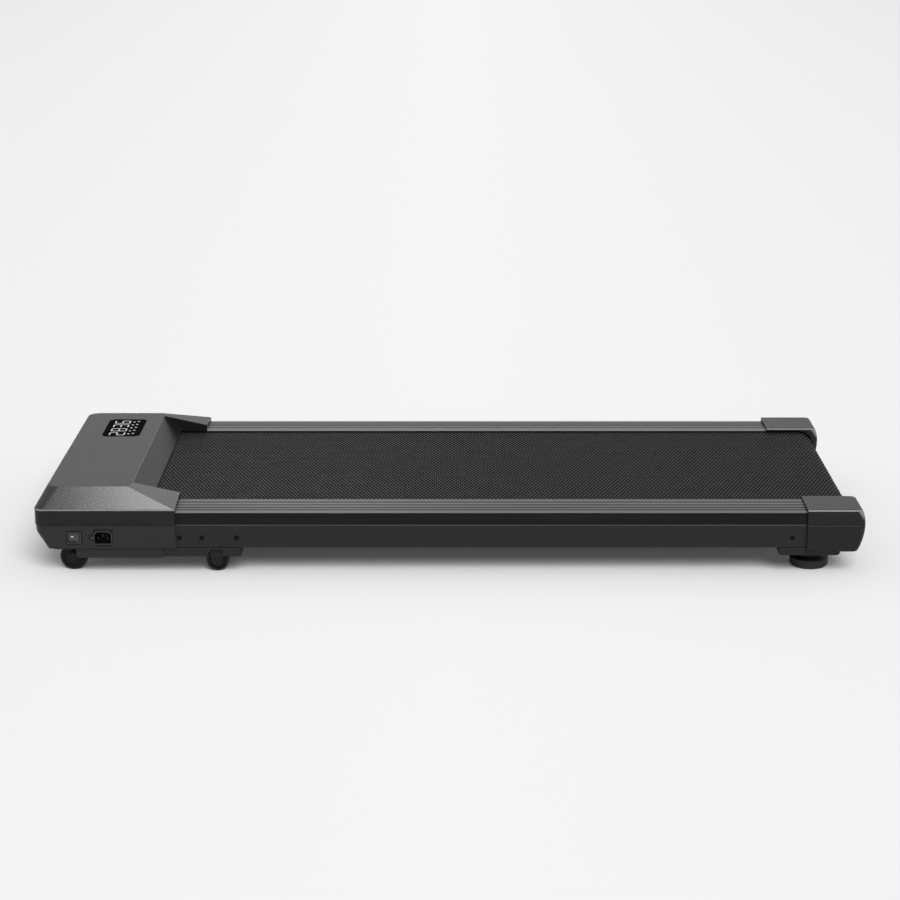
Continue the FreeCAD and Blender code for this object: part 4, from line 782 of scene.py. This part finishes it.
# The last tone is a painted highlight on upward corners and sideways shoulders.
cap_plastic = grained_finish("charcoal_cap_plastic", dark=(0.008, 0.0082, 0.0083),
                             light=(0.0125, 0.0128, 0.013), gloss=(0.28, 0.3), grain=800, depth=0.00005,
                             shine=0.18, edge=CAP_EDGE, highlight_tone=(0.2, 0.2, 0.203))
dress(cap_plastic, *both("end_cap"))


# Studio: a plain pale floor that runs out of view, with painted shade that darkens its colour a little to
# the sides, and that is clear from below, a soft light high in front of the pad, two white cards behind it
# that light only its gloss, and a pale surround that is brighter overhead.
FLOOR_REACH = 150.0
FLOOR_COLOUR = (0.93, 0.932, 0.936)
FLOOR_SIDE_SHADE_REACH = (0.0, 2.6)
FLOOR_SIDE_SHADE = (1.0, 0.9)
FLOOR_GLOW_SHARE = 0.05
SKY_COLOUR = (0.95, 0.95, 0.96, 1.0)
SKY_LIGHT = 0.52
SKY_SEEN = (0.56, 1.04)
SKY_HEIGHT = (0.12, 0.4)
FRONT_LIGHT_WAY = (0.2, -0.72, 0.68)
FRONT_LIGHT_SPREAD = 34
FRONT_LIGHT_STRENGTH = 2.3
CARD_SIZE = 0.5
HIGH_CARD_PLACE = (-0.5, 0.55, 1.45)
HIGH_CARD_AIM = (-0.45, -0.235, 0.1)
HIGH_CARD_POWER = 15.0
LOW_CARD_PLACE = (-0.335, 1.74, 1.11)
LOW_CARD_AIM = (-0.42, -0.215, 0.1)
LOW_CARD_POWER = 1.2
CAMERA_PLACE = (0.0, -3.3667, 1.0634)
CAMERA_PITCH = 74.263
CAMERA_LENS = 90.5
CAMERA_SENSOR = 36.0


def looked_at(tree):
    """1 where the camera, gloss or glass sees a surface, and 0 where it only lights other things."""
    ray = tree.nodes.new("ShaderNodeLightPath")
    seen = ray.outputs["Is Camera Ray"]
    for kind in ("Is Glossy Ray", "Is Transmission Ray"):
        seen = combine(tree, "MAXIMUM", seen, ray.outputs[kind])
    return seen


def mix_shaders(tree, share, first, second):
    """Mixes two shaders, with the given share of the second."""
    blend = tree.nodes.new("ShaderNodeMixShader")
    for socket, value in zip(blend.inputs, (share, first, second)):
        tree.links.new(value, socket)
    return blend.outputs["Shader"]


def stand(name, data):
    """Puts a studio thing in the scene."""
    thing = bpy.data.objects.new(name, data)
    bpy.context.scene.collection.objects.link(thing)
    return thing


floor_paint = bpy.data.materials.new("studio_floor_paint")
floor_paint.use_nodes = True
floor_tree = floor_paint.node_tree
floor_tree.nodes.clear()
floor_place = floor_tree.nodes.new("ShaderNodeTexCoord")
floor_spot = floor_tree.nodes.new("ShaderNodeSeparateXYZ")
floor_tree.links.new(floor_place.outputs["Object"], floor_spot.inputs["Vector"])
# Painted shade: the floor's colour is darkened a little towards the sides.
floor_aside = combine(floor_tree, "ABSOLUTE", floor_spot.outputs["X"])
floor_side_shade = remap(floor_tree, floor_aside, FLOOR_SIDE_SHADE_REACH, FLOOR_SIDE_SHADE)
floor_tone = floor_tree.nodes.new("ShaderNodeVectorMath")
floor_tone.operation = "SCALE"
floor_tone.inputs[0].default_value = FLOOR_COLOUR
floor_tree.links.new(floor_side_shade, floor_tone.inputs["Scale"])
floor_matt = floor_tree.nodes.new("ShaderNodeBsdfDiffuse")
floor_glow = floor_tree.nodes.new("ShaderNodeEmission")
for paint in (floor_matt, floor_glow):
    floor_tree.links.new(floor_tone.outputs["Vector"], paint.inputs["Color"])
glow_share = combine(floor_tree, "MULTIPLY", looked_at(floor_tree), FLOOR_GLOW_SHARE)
floor_top = mix_shaders(floor_tree, glow_share, floor_matt.outputs["BSDF"], floor_glow.outputs["Emission"])
floor_side = floor_tree.nodes.new("ShaderNodeNewGeometry")
from_below = floor_side.outputs["Backfacing"]
floor_clear = floor_tree.nodes.new("ShaderNodeBsdfTransparent")
floor_look = mix_shaders(floor_tree, from_below, floor_top, floor_clear.outputs["BSDF"])
floor_out = floor_tree.nodes.new("ShaderNodeOutputMaterial")
floor_tree.links.new(floor_look, floor_out.inputs["Surface"])

floor_mesh = bpy.data.meshes.new("studio_floor")
floor_mesh.from_pydata([(-FLOOR_REACH, -FLOOR_REACH, 0), (FLOOR_REACH, -FLOOR_REACH, 0),
                        (FLOOR_REACH, FLOOR_REACH, 0), (-FLOOR_REACH, FLOOR_REACH, 0)], [], [(0, 1, 2, 3)])
floor_mesh.materials.append(floor_paint)
stand("studio_floor", floor_mesh)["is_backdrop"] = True

surround = bpy.data.worlds.new("studio_surround")
surround.use_nodes = True
sky_tree = surround.node_tree
sky = sky_tree.nodes["Background"]
sky.inputs["Color"].default_value = SKY_COLOUR
sky_place = sky_tree.nodes.new("ShaderNodeTexCoord")
sky_way = sky_tree.nodes.new("ShaderNodeSeparateXYZ")
sky_tree.links.new(sky_place.outputs["Generated"], sky_way.inputs["Vector"])
sky_shown = remap(sky_tree, sky_way.outputs["Z"], SKY_HEIGHT, SKY_SEEN)
sky_strength = mix(sky_tree, "FLOAT", looked_at(sky_tree), SKY_LIGHT, sky_shown)
sky_tree.links.new(sky_strength, sky.inputs["Strength"])
bpy.context.scene.world = surround

front_light = bpy.data.lights.new("front_light", "SUN")
front_light.angle = math.radians(FRONT_LIGHT_SPREAD)
front_light.energy = FRONT_LIGHT_STRENGTH
front_lamp = stand("front_light", front_light)
front_lamp.rotation_euler = Vector(FRONT_LIGHT_WAY).to_track_quat("Z", "Y").to_euler()


def gloss_card(name, place, aim, power):
    """Hangs a white card that faces a spot and lights only gloss."""
    glow = bpy.data.lights.new(name, "AREA")
    glow.size = CARD_SIZE
    glow.energy = power
    card = stand(name, glow)
    card.location = place
    card.rotation_euler = (Vector(place) - Vector(aim)).to_track_quat("Z", "Y").to_euler()
    card.visible_diffuse = False


gloss_card("high_card", HIGH_CARD_PLACE, HIGH_CARD_AIM, HIGH_CARD_POWER)
gloss_card("low_card", LOW_CARD_PLACE, LOW_CARD_AIM, LOW_CARD_POWER)

optics = bpy.data.cameras.new("studio_camera")
optics.lens = CAMERA_LENS
optics.sensor_width = CAMERA_SENSOR
camera = stand("studio_camera", optics)
camera.location = CAMERA_PLACE
camera.rotation_euler = (math.radians(CAMERA_PITCH), 0.0, 0.0)
bpy.context.scene.camera = camera
bpy.context.scene.view_settings.view_transform = "Standard"

low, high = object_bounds()
